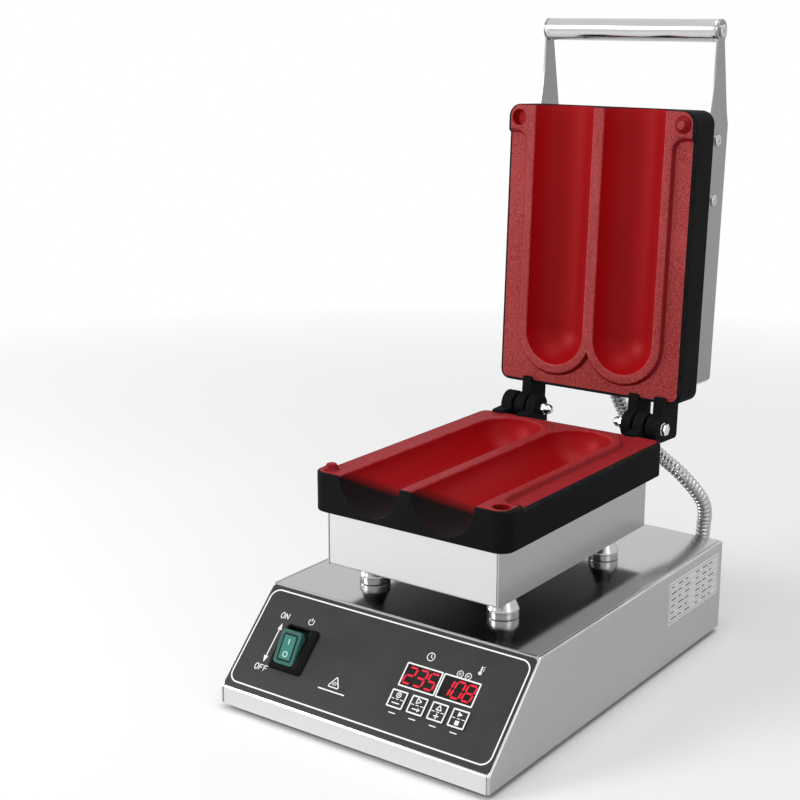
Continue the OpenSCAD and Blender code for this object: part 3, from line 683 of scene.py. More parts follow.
class MaterialNet(Net):
    """A material's nodes: its shader, and the coordinates of the piece that wears it."""

    def __init__(self, tree: NodeTree) -> None:
        """Keeps the tree and its shader, and adds the coordinates.

        Args:
            tree: the material's tree.
        """
        super().__init__(tree)
        self.shader = tree.nodes["Principled BSDF"]
        self.place = self.node("ShaderNodeTexCoord").outputs["Object"]

    def give(self, **sockets: object) -> None:
        """Sets the shader's sockets, named with low lines for spaces."""
        for name, value in sockets.items():
            self.put(self.shader.inputs[name.replace("_", " ")], value)

    def effect(self, kind: Effect, **values: object) -> NodeSocket:
        """The mask of an effect with its own values."""
        return self.effect_node(kind, **values).outputs["Mask"]

    def effect_node(self, kind: Effect, **values: object) -> Node:
        """An effect's group in this material, with its own values."""
        return self.node("ShaderNodeGroup", {"Vector": self.place, **values}, node_tree=effect_group(kind))

    def share(self, a: NodeSocket, b: NodeSocket, part: float) -> NodeSocket:
        """Two masks added, the first with one less a part and the second with the part."""
        return self.math("ADD", self.math("MULTIPLY", a, 1.0 - part), self.math("MULTIPLY", b, part))

    def relief(self, height: NodeSocket, depth: float, strength: float = 1.0) -> None:
        """Bumps the normal by a height, depth in millimetres from its lowest to its highest."""
        bump = self.node("ShaderNodeBump", {"Height": height, "Distance": depth * MM, "Strength": strength})
        self.give(Normal=bump.outputs["Normal"])


class Finish:
    """Base of the finishes: builds its material on first use and keeps it."""

    title: str

    def material(self) -> Material:
        """The finish's material, made on first use.

        Returns:
            The material.
        """
        name = f"{self.title}_finish"
        if name in bpy.data.materials:
            return bpy.data.materials[name]
        made = bpy.data.materials.new(name)
        made.use_nodes = True
        self.wire(MaterialNet(made.node_tree))
        return made

    def wire(self, net: MaterialNet) -> None:
        """Sets the shader's sockets and links its textures."""
        raise NotImplementedError


def shaded(colour: Colour, factor: float, lift: float = 0.0) -> Colour:
    """A colour times a factor plus a lift, no more than 1."""
    return tuple(min(1.0, c * factor + lift) for c in colour)


@dataclass(frozen=True)
class Steel(Finish):
    """Sheet or turned steel: tint, roughness, and the stretch of its grain along x, y and z."""

    title: str
    tint: Colour = (0.62, 0.63, 0.64)
    roughness: float = 0.28
    stretch: Point = (24.0, 2600.0, 2600.0)
    grain: float = 0.003
    smudge: float = 0.05
    polish: float = 0.08

    def wire(self, net: MaterialNet) -> None:
        """Grain moves the tint and roughness, patches dull it, and its edges are polished.

        Args:
            net: the material's nodes.
        """
        grain = net.effect_node(Effect.GRAIN, Stretch=self.stretch).outputs
        patch = net.effect(Effect.CLOUD, Size=16.0, Contrast=0.35)
        wear = net.effect(Effect.WEAR, Size=35.0, Amount=1.0)
        dark = shaded(self.tint, 0.93)
        toned = net.blend(grain["Mask"], dark, self.tint)
        dulled = net.blend(net.math("MULTIPLY", patch, 0.3), toned, dark)
        rough = net.math("ADD", net.spread(grain["Mask"], 0, 1, self.roughness - 0.02, self.roughness + 0.03),
                         net.math("MULTIPLY", patch, self.smudge))
        rough = net.math("SUBTRACT", rough, net.math("MULTIPLY", wear, self.polish), clamp=True)
        worn = net.blend(wear, dulled, shaded(self.tint, 1.4, 0.06))
        net.give(Base_Color=worn, Roughness=rough, Metallic=1.0)
        net.relief(grain["Height"], self.grain, 0.6)


@dataclass(frozen=True)
class Baked:
    """How a coating comes in from black along y: it starts and ends at two depths, given at one height.

    Both depths grow by the slope with each millimetre below that height.
    """

    start: float
    end: float
    height: float
    slope: float = 2.0
    dull: float = 0.4

    def shown(self, net: MaterialNet) -> NodeSocket:
        """How much of the coating shows: 0 where it is black and 1 where it is whole.

        Args:
            net: the material's nodes.

        Returns:
            The mask.
        """
        split = net.node("ShaderNodeSeparateXYZ", {0: net.place}).outputs
        above = net.math("SUBTRACT", split["Z"], self.height * MM)
        depth = net.math("ADD", split["Y"], net.math("MULTIPLY", above, self.slope))
        return net.spread(depth, self.start * MM, self.end * MM)


@dataclass(frozen=True)
class Cast(Finish):
    """Painted or coated casting: two tones in patches, a fine speckle in relief, and worn edges."""

    title: str
    tone: Colour
    other: Colour
    edge: Colour
    roughness: float
    speckle_size: float
    speckle_depth: float
    gloss: float
    sheen_spread: float = 0.12
    wear: float = 0.5
    baked: Baked | None = None
    fleck: float = 0.3
    metal: float = 0.0

    def wire(self, net: MaterialNet) -> None:
        """Patches mix the tones, speckle lifts and roughens, and edges show their own colour.

        Args:
            net: the material's nodes.
        """
        patch = net.effect(Effect.CLOUD, Size=11.0, Contrast=0.4)
        speckle = net.effect_node(Effect.SPECKLE, Size=self.speckle_size, Contrast=0.3).outputs
        wear = net.effect(Effect.WEAR, Size=120.0, Amount=self.wear)
        colour = net.blend(net.share(patch, speckle["Mask"], self.fleck), self.tone, self.other)
        colour = net.blend(wear, colour, self.edge)
        rough = net.spread(speckle["Mask"], 0, 1, self.roughness, self.roughness + self.sheen_spread)
        if self.baked:
            shown = self.baked.shown(net)
            colour = net.blend(shown, shaded(self.tone, 0.01, 0.002), colour)
            rough = net.math("ADD", rough, net.spread(shown, 0, 1, self.baked.dull, 0.0), clamp=True)
        net.give(Base_Color=colour, Roughness=rough, Metallic=self.metal, Specular_IOR_Level=self.gloss)
        net.relief(speckle["Height"], self.speckle_depth)


@dataclass(frozen=True)
class Moulding(Finish):
    """Moulded plastic, rubber, film or ceramic: colour, gloss, fine texture and uneven gloss."""

    title: str
    tone: Colour
    roughness: float = 0.4
    texture_size: float = 900.0
    texture_depth: float = 0.02
    contrast: float = 0.12
    coat: float = 0.0
    glow: float = 0.0
    gloss: float = 0.3

    def wire(self, net: MaterialNet) -> None:
        """Slow patches and a fine texture vary the colour, the gloss and the relief.

        Args:
            net: the material's nodes.
        """
        patch = net.effect(Effect.CLOUD, Size=40.0, Contrast=0.4)
        fine = net.effect_node(Effect.SPECKLE, Size=self.texture_size, Contrast=0.35).outputs
        wear = net.effect(Effect.WEAR, Size=150.0, Amount=0.35)
        mixed = net.blend(net.share(patch, fine["Mask"], 0.4), shaded(self.tone, 1 - self.contrast),
                          shaded(self.tone, 1 + self.contrast, 0.01))
        rough = net.spread(patch, 0, 1, max(0.02, self.roughness - 0.04), self.roughness + 0.06)
        net.give(Base_Color=net.blend(wear, mixed, shaded(self.tone, 1.3, 0.03)), Roughness=rough,
                 Specular_IOR_Level=self.gloss)
        if self.coat:
            net.give(Coat_Weight=self.coat, Coat_Roughness=0.08)
        if self.glow:
            net.give(Emission_Color=mixed, Emission_Strength=self.glow)
        net.relief(fine["Height"], self.texture_depth)


class Finishes:
    """Every finish of the press."""

    CASE = Steel("case_steel", (0.46, 0.465, 0.47), 0.09, grain=0.0008)
    # The upright front of the case: a lighter copy of the case steel, as painted light.
    FRONT = Steel("front_lit_steel", (0.74, 0.745, 0.75), 0.2, grain=0.001)
    SIDE = Steel("side_steel", (0.475, 0.478, 0.481), 0.26, (2600.0, 24.0, 2600.0), 0.0015)
    INSIDE = Steel("plain_sheet", (0.45, 0.45, 0.46), 0.4)
    # Front, floor and rear of the heater box: the steel lightened as painted light.
    HOUSING = Steel("housing_steel", (0.71, 0.715, 0.72), 0.30, grain=0.001)
    # Underside of the heater box: a dark copy of the steel as painted shade.
    UNDER_SHADE = Steel("underside_shaded_steel", (0.14, 0.138, 0.136), 0.35)
    # Side walls of the heater box: a darker copy of the same steel as painted shade.
    HOUSING_SIDE_SHADED = Steel("housing_side_shaded_steel", (0.42, 0.424, 0.428), 0.2, (2600.0, 24.0, 2600.0), 0.0015)
    LID = Steel("lid_steel", (0.66, 0.67, 0.68), 0.2, (2600.0, 2600.0, 24.0), 0.0015)
    # Handle arms: a dark copy of the lid steel as painted shade.
    ARM = Steel("arm_steel", (0.25, 0.252, 0.255), 0.28, (2600.0, 24.0, 2600.0), 0.001)
    CHROME = Steel("handle_chrome", (0.58, 0.585, 0.59), 0.13, (30.0, 900.0, 900.0), 0.0, 0.0)
    SCREW = Steel("screw_steel", (0.50, 0.50, 0.495), 0.2, (900.0, 900.0, 900.0), 0.004)
    TURNED = Steel("turned_steel", (0.50, 0.50, 0.50), 0.2, (30.0, 30.0, 2600.0), 0.003)
    ZINC = Steel("bolt_zinc", (0.74, 0.74, 0.72), 0.18, (900.0, 900.0, 900.0), 0.004)
    PROBE = Steel("probe_steel", (0.6, 0.6, 0.6), 0.3)
    SHEATH = Steel("heater_sheath", (0.2, 0.18, 0.17), 0.5, (60.0, 60.0, 60.0), 0.01)
    CONDUIT = Steel("conduit_metal", (0.44, 0.443, 0.446), 0.26, (1500.0, 1500.0, 1500.0), 0.0002)
    BODY = Cast("plate_casting", (0.0055, 0.0055, 0.0058), (0.0095, 0.0095, 0.010), (0.035, 0.035, 0.037),
                0.55, 1100.0, 0.09, 0.02)
    CHANNEL = Cast("channel_coating", (0.31, 0.002, 0.004), (0.36, 0.003, 0.006), (0.5, 0.04, 0.05),
                   0.42, 900.0, 0.09, 0.14, 0.08, 0.3, Baked(-116.0, -94.0, LOWER_FACE), metal=0.1)
    # Lid lands: a lighter, pinker copy of the channel coating, as painted light where they face the lamps.
    LAND = Cast("lit_land_coating", (0.185, 0.011, 0.012), (0.375, 0.055, 0.057), (0.49, 0.10, 0.11),
                0.48, 700.0, 0.12, 0.11, 0.14, fleck=0.78)
    # Lower plate lands: a darker copy of the land coating, as painted shade.
    SHADED_LAND = Cast("shaded_land_coating", (0.19, 0.006, 0.009), (0.30, 0.020, 0.026), (0.42, 0.07, 0.08),
                     0.48, 700.0, 0.12, 0.08, 0.14, fleck=0.7)
    # Step walls and the peg's foot: a darker copy of the channel coating, as painted shade.
    STEP = Cast("shaded_step_coating", (0.16, 0.003, 0.006), (0.20, 0.005, 0.009), (0.35, 0.03, 0.04),
                0.42, 900.0, 0.05, 0.08, 0.1, 0.2)
    RUBBER = Moulding("foot_rubber", (0.018, 0.018, 0.018), 0.62, 700.0, 0.06)
    FILM = Moulding("panel_film", (0.025, 0.025, 0.026), 0.4, 2400.0, 0.012, 0.09, gloss=0.12)
    KEY = Moulding("key_film", (0.020, 0.020, 0.021), 0.4, 2400.0, 0.012, 0.09, gloss=0.12)
    INK = Moulding("panel_ink", (0.80, 0.80, 0.79), 0.5, 2000.0, 0.005, 0.05)
    SWITCH = Moulding("switch_black", (0.003, 0.003, 0.0034), 0.35, 900.0, 0.01, 0.1, gloss=0.04)
    ROCKER = Moulding("rocker_green", (0.022, 0.105, 0.085), 0.3, 900.0, 0.006, 0.08, gloss=0.06)
    ROCKER_LIT = Moulding("rocker_window", (0.014, 0.17, 0.14), 0.22, 300.0, 0.006, 0.12, gloss=0.06)
    ROCKER_INK = Moulding("rocker_ink", (0.55, 0.74, 0.68), 0.45, gloss=0.1)
    LENS = Moulding("display_lens", (0.006, 0.0015, 0.0018), 0.14, 500.0, 0.003, 0.1, gloss=0.3)
    LIT = Moulding("display_red", (0.58, 0.008, 0.024), 0.4, 900.0, 0.004, 0.05, glow=0.42, gloss=0.1)
    LED = Moulding("led_clear", (0.42, 0.39, 0.37), 0.15, 600.0, 0.004, 0.1, 0.4)
    BOARD = Moulding("board_green", (0.02, 0.13, 0.05), 0.45)
    PARTS = Moulding("switch_parts", (0.05, 0.05, 0.055), 0.4)
    NYLON = Moulding("nylon_white", (0.7, 0.7, 0.66), 0.5)
    IRON = Moulding("coil_iron", (0.12, 0.11, 0.1), 0.55)
    RELAY = Moulding("relay_case", (0.62, 0.6, 0.5), 0.4)
    GLAND = Moulding("gland_black", (0.015, 0.015, 0.015), 0.35)
    WOOL = Moulding("ceramic_wool", (0.72, 0.66, 0.5), 0.95, 250.0, 0.6, 0.2)
    LABEL = Steel("label_silver", (0.70, 0.71, 0.71), 0.34, (40.0, 40.0, 40.0), 0.002)
    LABEL_INK = Moulding("label_ink", (0.13, 0.13, 0.135), 0.5, gloss=0.1)


# ---------- case ----------


@dataclass
class Case:
    """The folded case: its shell, its two side panels with their turned-over edges, feet and floor."""

    width: float = 250.0
    sheet: float = 1.2
    turn_over: float = 2.3
    gap: float = 0.55
    bends: tuple[float, ...] = (0.3, 0.3, 2.0, 2.4, 2.0)
    side_bends: tuple[float, ...] = (1.6, 1.6, 2.0, 2.4, 2.0)
    edge_bend: float = 1.5
    upright: float = 1.2
    foot_x: float = 97.0
    foot_y: float = 161.0
    foot_profile: Profile = (
        (5.0, 0.0), (9.0, 0.0), (10.0, 1.0), (12.0, 4.0), (2.1, 4.0), (2.1, 2.4), (5.0, 2.4))

    @staticmethod
    def outline(bends: tuple[float, ...]) -> Rows:
        """The case in its side view, anticlockwise from its low front edge.

        Args:
            bends: the radius of each bend.

        Returns:
            The outline's points.
        """
        slope = CASE_TOP - CASE_LOW - CASE_LIP
        corners = [[CASE_FRONT, CASE_LOW], [CASE_REAR, CASE_LOW], [CASE_REAR, CASE_TOP],
                   [CASE_FRONT + slope, CASE_TOP], [CASE_FRONT, CASE_LOW + CASE_LIP]]
        return rounded(np.array(corners), np.array(bends), 6)

    def shell(self) -> Shell:
        """The front, slope, top and rear, folded from one sheet along x; mark 1 is the upright front, given a
        lighter copy of the steel as painted light.

        Returns:
            The sheet.
        """
        half = self.width / 2 - self.turn_over - self.gap
        made = Shell().prism(self.outline(self.bends), -half, half, SIDE_VIEW, 0.5)
        return made.marked_where(1, CASE_FRONT + self.upright)

    def side(self) -> Shell:
        """The right side panel: from its free edge on the top, round the bend and down to its flat face.

        The section runs in from the case's outline by d while x runs from the free edge to the face;
        the bend is a quarter circle, d = r (1 - cos a), x = face - r + r sin a.

        Returns:
            The panel.
        """
        face, r = self.width / 2, self.edge_bend
        a = quarter(5)
        x = joined([[face - self.turn_over] * 2, face - r + r * np.sin(a)])
        d = joined([[self.sheet, 0.15], r * (1 - np.cos(a))])
        wear = joined([[0.0, 1.0], np.sin(2 * a)]).clip(0, 1)
        return Shell().loft(SIDE_VIEW(at_heights(drawn_in(self.outline(self.side_bends), d), x)), wear)

    def foot(self, sx: int, sy: int) -> Shell:
        """A turned rubber foot."""
        profile = rounded(np.array(self.foot_profile), 0.35, 3)
        return Shell().lathe(profile, Place((sx * self.foot_x, sy * self.foot_y, 0.0)), 40)

    def build(self) -> None:
        """Makes the case's pieces."""
        # The upright front wears the lighter front steel: painted light.
        set_up("case_shell", self.shell(), [Finishes.CASE, Finishes.FRONT], stands_for=("base_shell",))
        for hand, side in SIDES:
            set_up(f"case_side_{side}", self.side().on_side(hand), Finishes.SIDE, "base",
                   (f"side_panel_{side}",))
        for sy, end in ((-1, "front"), (1, "rear")):
            for sx, side in SIDES:
                node = f"foot_{end}_{side}"
                set_up(f"rubber_{node}", self.foot(sx, sy), Finishes.RUBBER, stands_for=(node,))
        dress("bottom_plate", Finishes.INSIDE)
        dress("foot_screws", Finishes.SCREW)


# ---------- control panel ----------


# The segments of a numeral: a is on top, g in the middle, d below, b and c to the right, f and e to the left.
SEGMENTS = {"0": "abcdef", "1": "bc", "2": "abged", "3": "abgcd", "5": "afgcd", "8": "abcdefg"}
# The strokes of a capital letter, in widths and heights of the letter.
STROKES = {
    "N": (((0, 0), (0, 1)), ((0, 1), (1, 0)), ((1, 0), (1, 1))),
    "F": (((0, 0), (0, 1)), ((0, 0.925), (1, 0.925)), ((0, 0.5), (0.8, 0.5))),
}
# The sign on each key, from the key's middle: closed lines, filled areas, and rules with their widths.
SIGNS = {
    "key_set": ((ring_outline(1.8, 0.0, 3.2, 24),), (ring_outline(0.7, 0.0, 3.2, 12),),
                (((-3.4, -3.2), (3.4, -3.2), 0.85),)),
    "key_next": ((rounded([[-1.7, 1.3], [2.2, 3.3], [-1.7, 5.3]], 0.1, 1),),
                 ([[1.4, -4.8], [3.9, -3.2], [1.4, -1.6]],), (((-3.2, -3.2), (2.0, -3.2), 0.85),)),
    "key_up": ((rounded([[-2.2, 1.5], [2.2, 1.5], [0.0, 5.2]], 0.1, 1),), (),
               (((-2.2, -3.2), (2.2, -3.2), 0.9), ((0.0, -5.3), (0.0, -1.1), 0.9))),
    "key_start": ((), ([[-1.6, 1.3], [2.3, 3.2], [-1.6, 5.1]], box_outline(3.4, 3.4, 0.2, 0.0, -3.3, 1)), ()),
}


@dataclass
class ControlPanel:
    """The printed film on the slope with its keys, windows, lamps and symbols.

    Places on it are given as u across the slope and v up it, from the slope's low edge.
    """

    film_w: float = 246.4
    film_low: float = 1.8
    film_high: float = 91.54
    film: float = 0.5
    sunk: float = 0.02
    raised: float = 0.04
    border_x: float = 120.8
    border_low: float = 6.8
    border_high: float = 88.0
    line: float = 1.15
    window_u: Pair = (40.7, 73.7)
    window_v: float = 52.5
    window: Pair = (31.2, 17.6)
    key_u: tuple[float, ...] = (30.2, 48.2, 66.2, 84.2)
    key_v: float = 32.5
    key_side: float = 14.0
    key_low: float = 1.0
    key_high: float = 1.5
    led_u: Pair = (69.8, 76.9)
    led_v: float = 64.5
    led_r: float = 1.5
    digit_h: float = 12.8
    digit_w: float = 7.0
    digit_pitch: float = 9.6
    digit_lean: float = 0.14
    digit_stroke: float = 0.8
    digit_gap: float = 0.35
    numbers: tuple[str, str] = ("235", "108")
    arrow_u: float = -97.6
    words: tuple[tuple[str, float, float], ...] = (("ON", -102.2, 66.2), ("OFF", -103.0, 21.4))
    letter: Pair = (3.1, 4.8)
    letter_gap: float = 1.3
    stroke: float = 0.72
    power: Pair = (-72.5, 69.8)
    hot: Pair = (-27.0, 30.4)
    clock: Pair = (41.0, 70.6)
    thermometer: Pair = (84.6, 69.4)

    def sheet(self) -> Shell:
        """The film, with softly rounded edges.

        Returns:
            The film.
        """
        low, high = self.film_low, self.film_high
        outline = box_outline(self.film_w, high - low, 3.0, 0.0, (low + high) / 2)
        return Shell().prism(outline, 0.02, self.film, PANEL, (0.02, 0.12))

    def strip(self, path: Rows, width: float, closed: bool = False, base: float | None = None) -> Shell:
        """A printed line.

        Args:
            path: the middle of the line.
            width: its width.
            closed: it ends where it starts.
            base: the height of what it is printed on, or None for the film.

        Returns:
            The line.
        """
        low = self.film if base is None else base
        drawn = np.asarray(path, float)
        return Shell().ribbon(drawn, width, low - self.sunk, low + self.raised, PANEL, closed)

    def rule(self, start: Rows, end: Rows, width: float, base: float | None = None) -> Shell:
        """A straight printed line."""
        return self.strip(np.linspace(start, end, 3), width, base=base)

    def patch(self, corners: Rows, base: float | None = None) -> Shell:
        """A printed area, on the film or on what stands as high as the base."""
        low = self.film if base is None else base
        return Shell().prism(np.asarray(corners, float), low - self.sunk, low + self.raised, PANEL, 0.01, 1)

    @staticmethod
    def arc(u: float, v: float, r: float, start: float, stop: float, count: int = 24) -> Rows:
        """Points of a circle's arc between two angles in degrees."""
        return on_circle(np.radians(np.linspace(start, stop, count)), r, u, v)

    def word(self, text: str, left: float, low: float) -> Shell:
        """A word in capitals.

        Args:
            text: its letters, each O or one that has strokes.
            left: u of its left side.
            low: v of its lower side.

        Returns:
            The word.
        """
        made = Shell()
        w, h = self.letter
        for i, letter in enumerate(text):
            corner = np.array([left + i * (w + self.letter_gap), low])
            if letter == "O":
                ring = corner + (w / 2, h / 2) + self.arc(0.0, 0.0, h / 2, 0, 345) * (w / h, 1.0)
                made.join(self.strip(ring, self.stroke, True))
            for stroke in STROKES.get(letter, ()):
                start, end = corner + np.array(stroke) * self.letter
                made.join(self.rule(start, end, self.stroke))
        return made

    def switch_marks(self) -> Shell:
        """The double arrow and the words on and off beside the switch, and a power symbol over it.

        Returns:
            The marks.
        """
        u = self.arrow_u
        made = self.rule((u, 31.5), (u, 59.0), 0.95)
        made.join(self.patch([[u - 2.1, 56.6], [u + 2.1, 56.6], [u, 62.2]]))
        made.join(self.patch([[u, 28.2], [u + 2.1, 33.8], [u - 2.1, 33.8]]))
        for text, left, low in self.words:
            made.join(self.word(text, left, low))
        u, v = self.power
        made.join(self.strip(self.arc(u, v, 2.5, 125, 415, 28), 0.7))
        return made.join(self.rule((u, v + 0.4), (u, v + 3.2), 0.7))

    def warning(self) -> Shell:
        """The hot surface sign: a triangle with three short upright waves, and a plain rule under it.

        Returns:
            The marks.
        """
        (u, v), h = self.hot, 8.6
        corners = np.array([[u - 0.6 * h, v - h / 2], [u + 0.6 * h, v - h / 2], [u, v + h / 2]])
        made = self.strip(rounded(corners, 0.7, 4), 0.85, True)
        y = np.linspace(-1.0, 1.0, 9)
        for k in (-1, 0, 1):
            reach = 1.3 if k else 1.8
            wave = np.stack([u + 1.5 * k + 0.35 * np.sin(2.6 * y), v - 1.2 + reach * y], 1)
            made.join(self.strip(wave, 0.55))
        return made.join(self.patch(box_outline(25.0, 1.0, 0.2, u, v - 7.6, 2)))

    def cluster_marks(self) -> Shell:
        """Frames round the windows and lamps, a clock and a thermometer over them, rules under the keys.

        Returns:
            The marks.
        """
        made = Shell()
        for u in self.window_u:
            frame_line = box_outline(self.window[0] - 0.1, self.window[1] + 0.6, 0.4, u, self.window_v, 2)
            made.join(self.strip(frame_line, self.line, True))
        for u in self.key_u:
            made.join(self.patch(box_outline(6.0, 0.8, 0.2, u, self.key_v - 10.6, 2)))
        for u in self.led_u:
            made.join(self.strip(ring_outline(2.45, u, self.led_v, 32), 0.6, True))
        u, v = self.clock
        made.join(self.strip(ring_outline(3.1, u, v, 32), 0.65, True))
        made.join(self.rule((u, v + 2.0), (u, v), 0.6))
        made.join(self.strip([[u - 0.2, v], [u + 0.8, v - 0.4], [u + 1.6, v - 0.8]], 0.6))
        u, v = self.thermometer
        made.join(self.patch(ring_outline(1.5, u, v, 24)))
        made.join(self.rule((u, v), (u, v + 5.2), 1.1))
        for k in range(3):
            made.join(self.rule((u + 1.1, v + 2.2 + 1.4 * k), (u + 2.5, v + 2.2 + 1.4 * k), 0.45))
        return made

    def key_marks(self, node: str, u: float) -> Shell:
        """The frame on a key, the three dashes that halve it, and its sign.

        Args:
            node: the key.
            u: its middle across the slope.

        Returns:
            The marks.
        """
        middle, top, side = np.array([u, self.key_v]), self.key_high, self.key_side - 1.1
        made = self.strip(box_outline(side, side, 0.4, *middle, 3), self.line, True, top)
        for dash in (-4.1, 0.0, 4.1):
            made.join(self.rule(middle + (dash - 1.4, 0.0), middle + (dash + 1.4, 0.0), 0.6, top))
        lines, areas, rules = SIGNS[node]
        for line in lines:
            made.join(self.strip(middle + line, 0.8, True, top))
        for area in areas:
            made.join(self.patch(middle + area, top))
        for start, end, width in rules:
            made.join(self.rule(middle + start, middle + end, width, top))
        return made

    def key(self, u: float) -> Shell:
        """A key's cap and its stem.

        Args:
            u: its middle across the slope.

        Returns:
            The key.
        """
        cap = box_outline(self.key_side, self.key_side, 0.8, u, self.key_v)
        made = Shell().prism(cap, self.key_low, self.key_high, PANEL, (0.05, 0.18))
        return made.prism(ring_outline(1.8, u, self.key_v, 20), -2.2, self.key_low + 0.1, PANEL, 0.1, 1)

    def digits(self, window: int) -> Shell:
        """The lit segments of the three numerals in one window.

        A segment is a six-sided bar; its place is turned by its own axis and then sheared by the lean.

        Args:
            window: 0 or 1.

        Returns:
            The segments.
        """
        h, w, t = self.digit_h / 2, self.digit_w / 2, self.digit_stroke
        spots = {"a": (0.0, h, 0), "g": (0.0, 0.0, 0), "d": (0.0, -h, 0), "b": (w, h / 2, 1),
                 "c": (w, -h / 2, 1), "f": (-w, h / 2, 1), "e": (-w, -h / 2, 1)}
        made = Shell()
        for k, numeral in enumerate(self.numbers[window]):
            for name in SEGMENTS[numeral]:
                x, y, upright = spots[name]
                half = (h / 2 if upright else w) - self.digit_gap
                e = half - t
                bar = np.array([[-half, 0], [-e, -t], [e, -t], [half, 0], [e, t], [-e, t]])
                bar = (bar[:, ::-1] * (-1.0, 1.0) if upright else bar) + (x, y)
                bar[:, 0] += bar[:, 1] * self.digit_lean
                bar += (self.window_u[window] + (k - 1) * self.digit_pitch, self.window_v)
                made.prism(bar, self.film - 0.01, self.film + 0.05, PANEL, 0.01, 1)
        return made

    def lenses(self) -> Shell:
        """The dark panes over the two windows.

        Returns:
            The panes.
        """
        made = Shell()
        for u in self.window_u:
            pane = box_outline(*self.window, 0.6, u, self.window_v, 3)
            made.prism(pane, 0.0, self.film, PANEL, (0.05, 0.1))
        return made

    def lamps(self) -> Shell:
        """The round indicator lamps, each a stem with a dome of its own radius.

        Returns:
            The lamps.
        """
        profile = joined([[[0.0, -8.9], [self.led_r, -8.9]], on_circle(quarter(6), self.led_r)])
        made = Shell()
        for u in self.led_u:
            at = Place(tuple(PANEL((u, self.led_v, 0.0))), PANEL.across, PANEL.along, PANEL.out)
            made.lathe(profile, at, 24, closed=False)
        return made

    def build(self) -> None:
        """Makes the panel's pieces."""
        set_up("panel_film", self.sheet(), Finishes.FILM, stands_for=("panel_overlay",))
        mid = (self.border_low + self.border_high) / 2
        border = box_outline(2 * self.border_x, self.border_high - self.border_low, 8.0, 0.0, mid, 8)
        set_up("panel_border", self.strip(border, self.line, True), Finishes.INK)
        set_up("panel_switch_marks", self.switch_marks(), Finishes.INK)
        set_up("panel_cluster_marks", self.cluster_marks(), Finishes.INK)
        set_up("panel_warning", self.warning(), Finishes.INK)
        set_up("display_windows", self.lenses(), Finishes.LENS, stands_for=("display_lenses",))
        for i, side in enumerate(("timer", "heat")):
            set_up(f"numerals_{side}", self.digits(i), Finishes.LIT)
        for u, node in zip(self.key_u, SIGNS):
            set_up(f"{node}_cap", self.key(u), Finishes.KEY, node, (node,))
            set_up(f"{node}_marks", self.key_marks(node, u), Finishes.INK, node)
        set_up("indicator_lamps", self.lamps(), Finishes.LED, stands_for=("indicator_leds",))


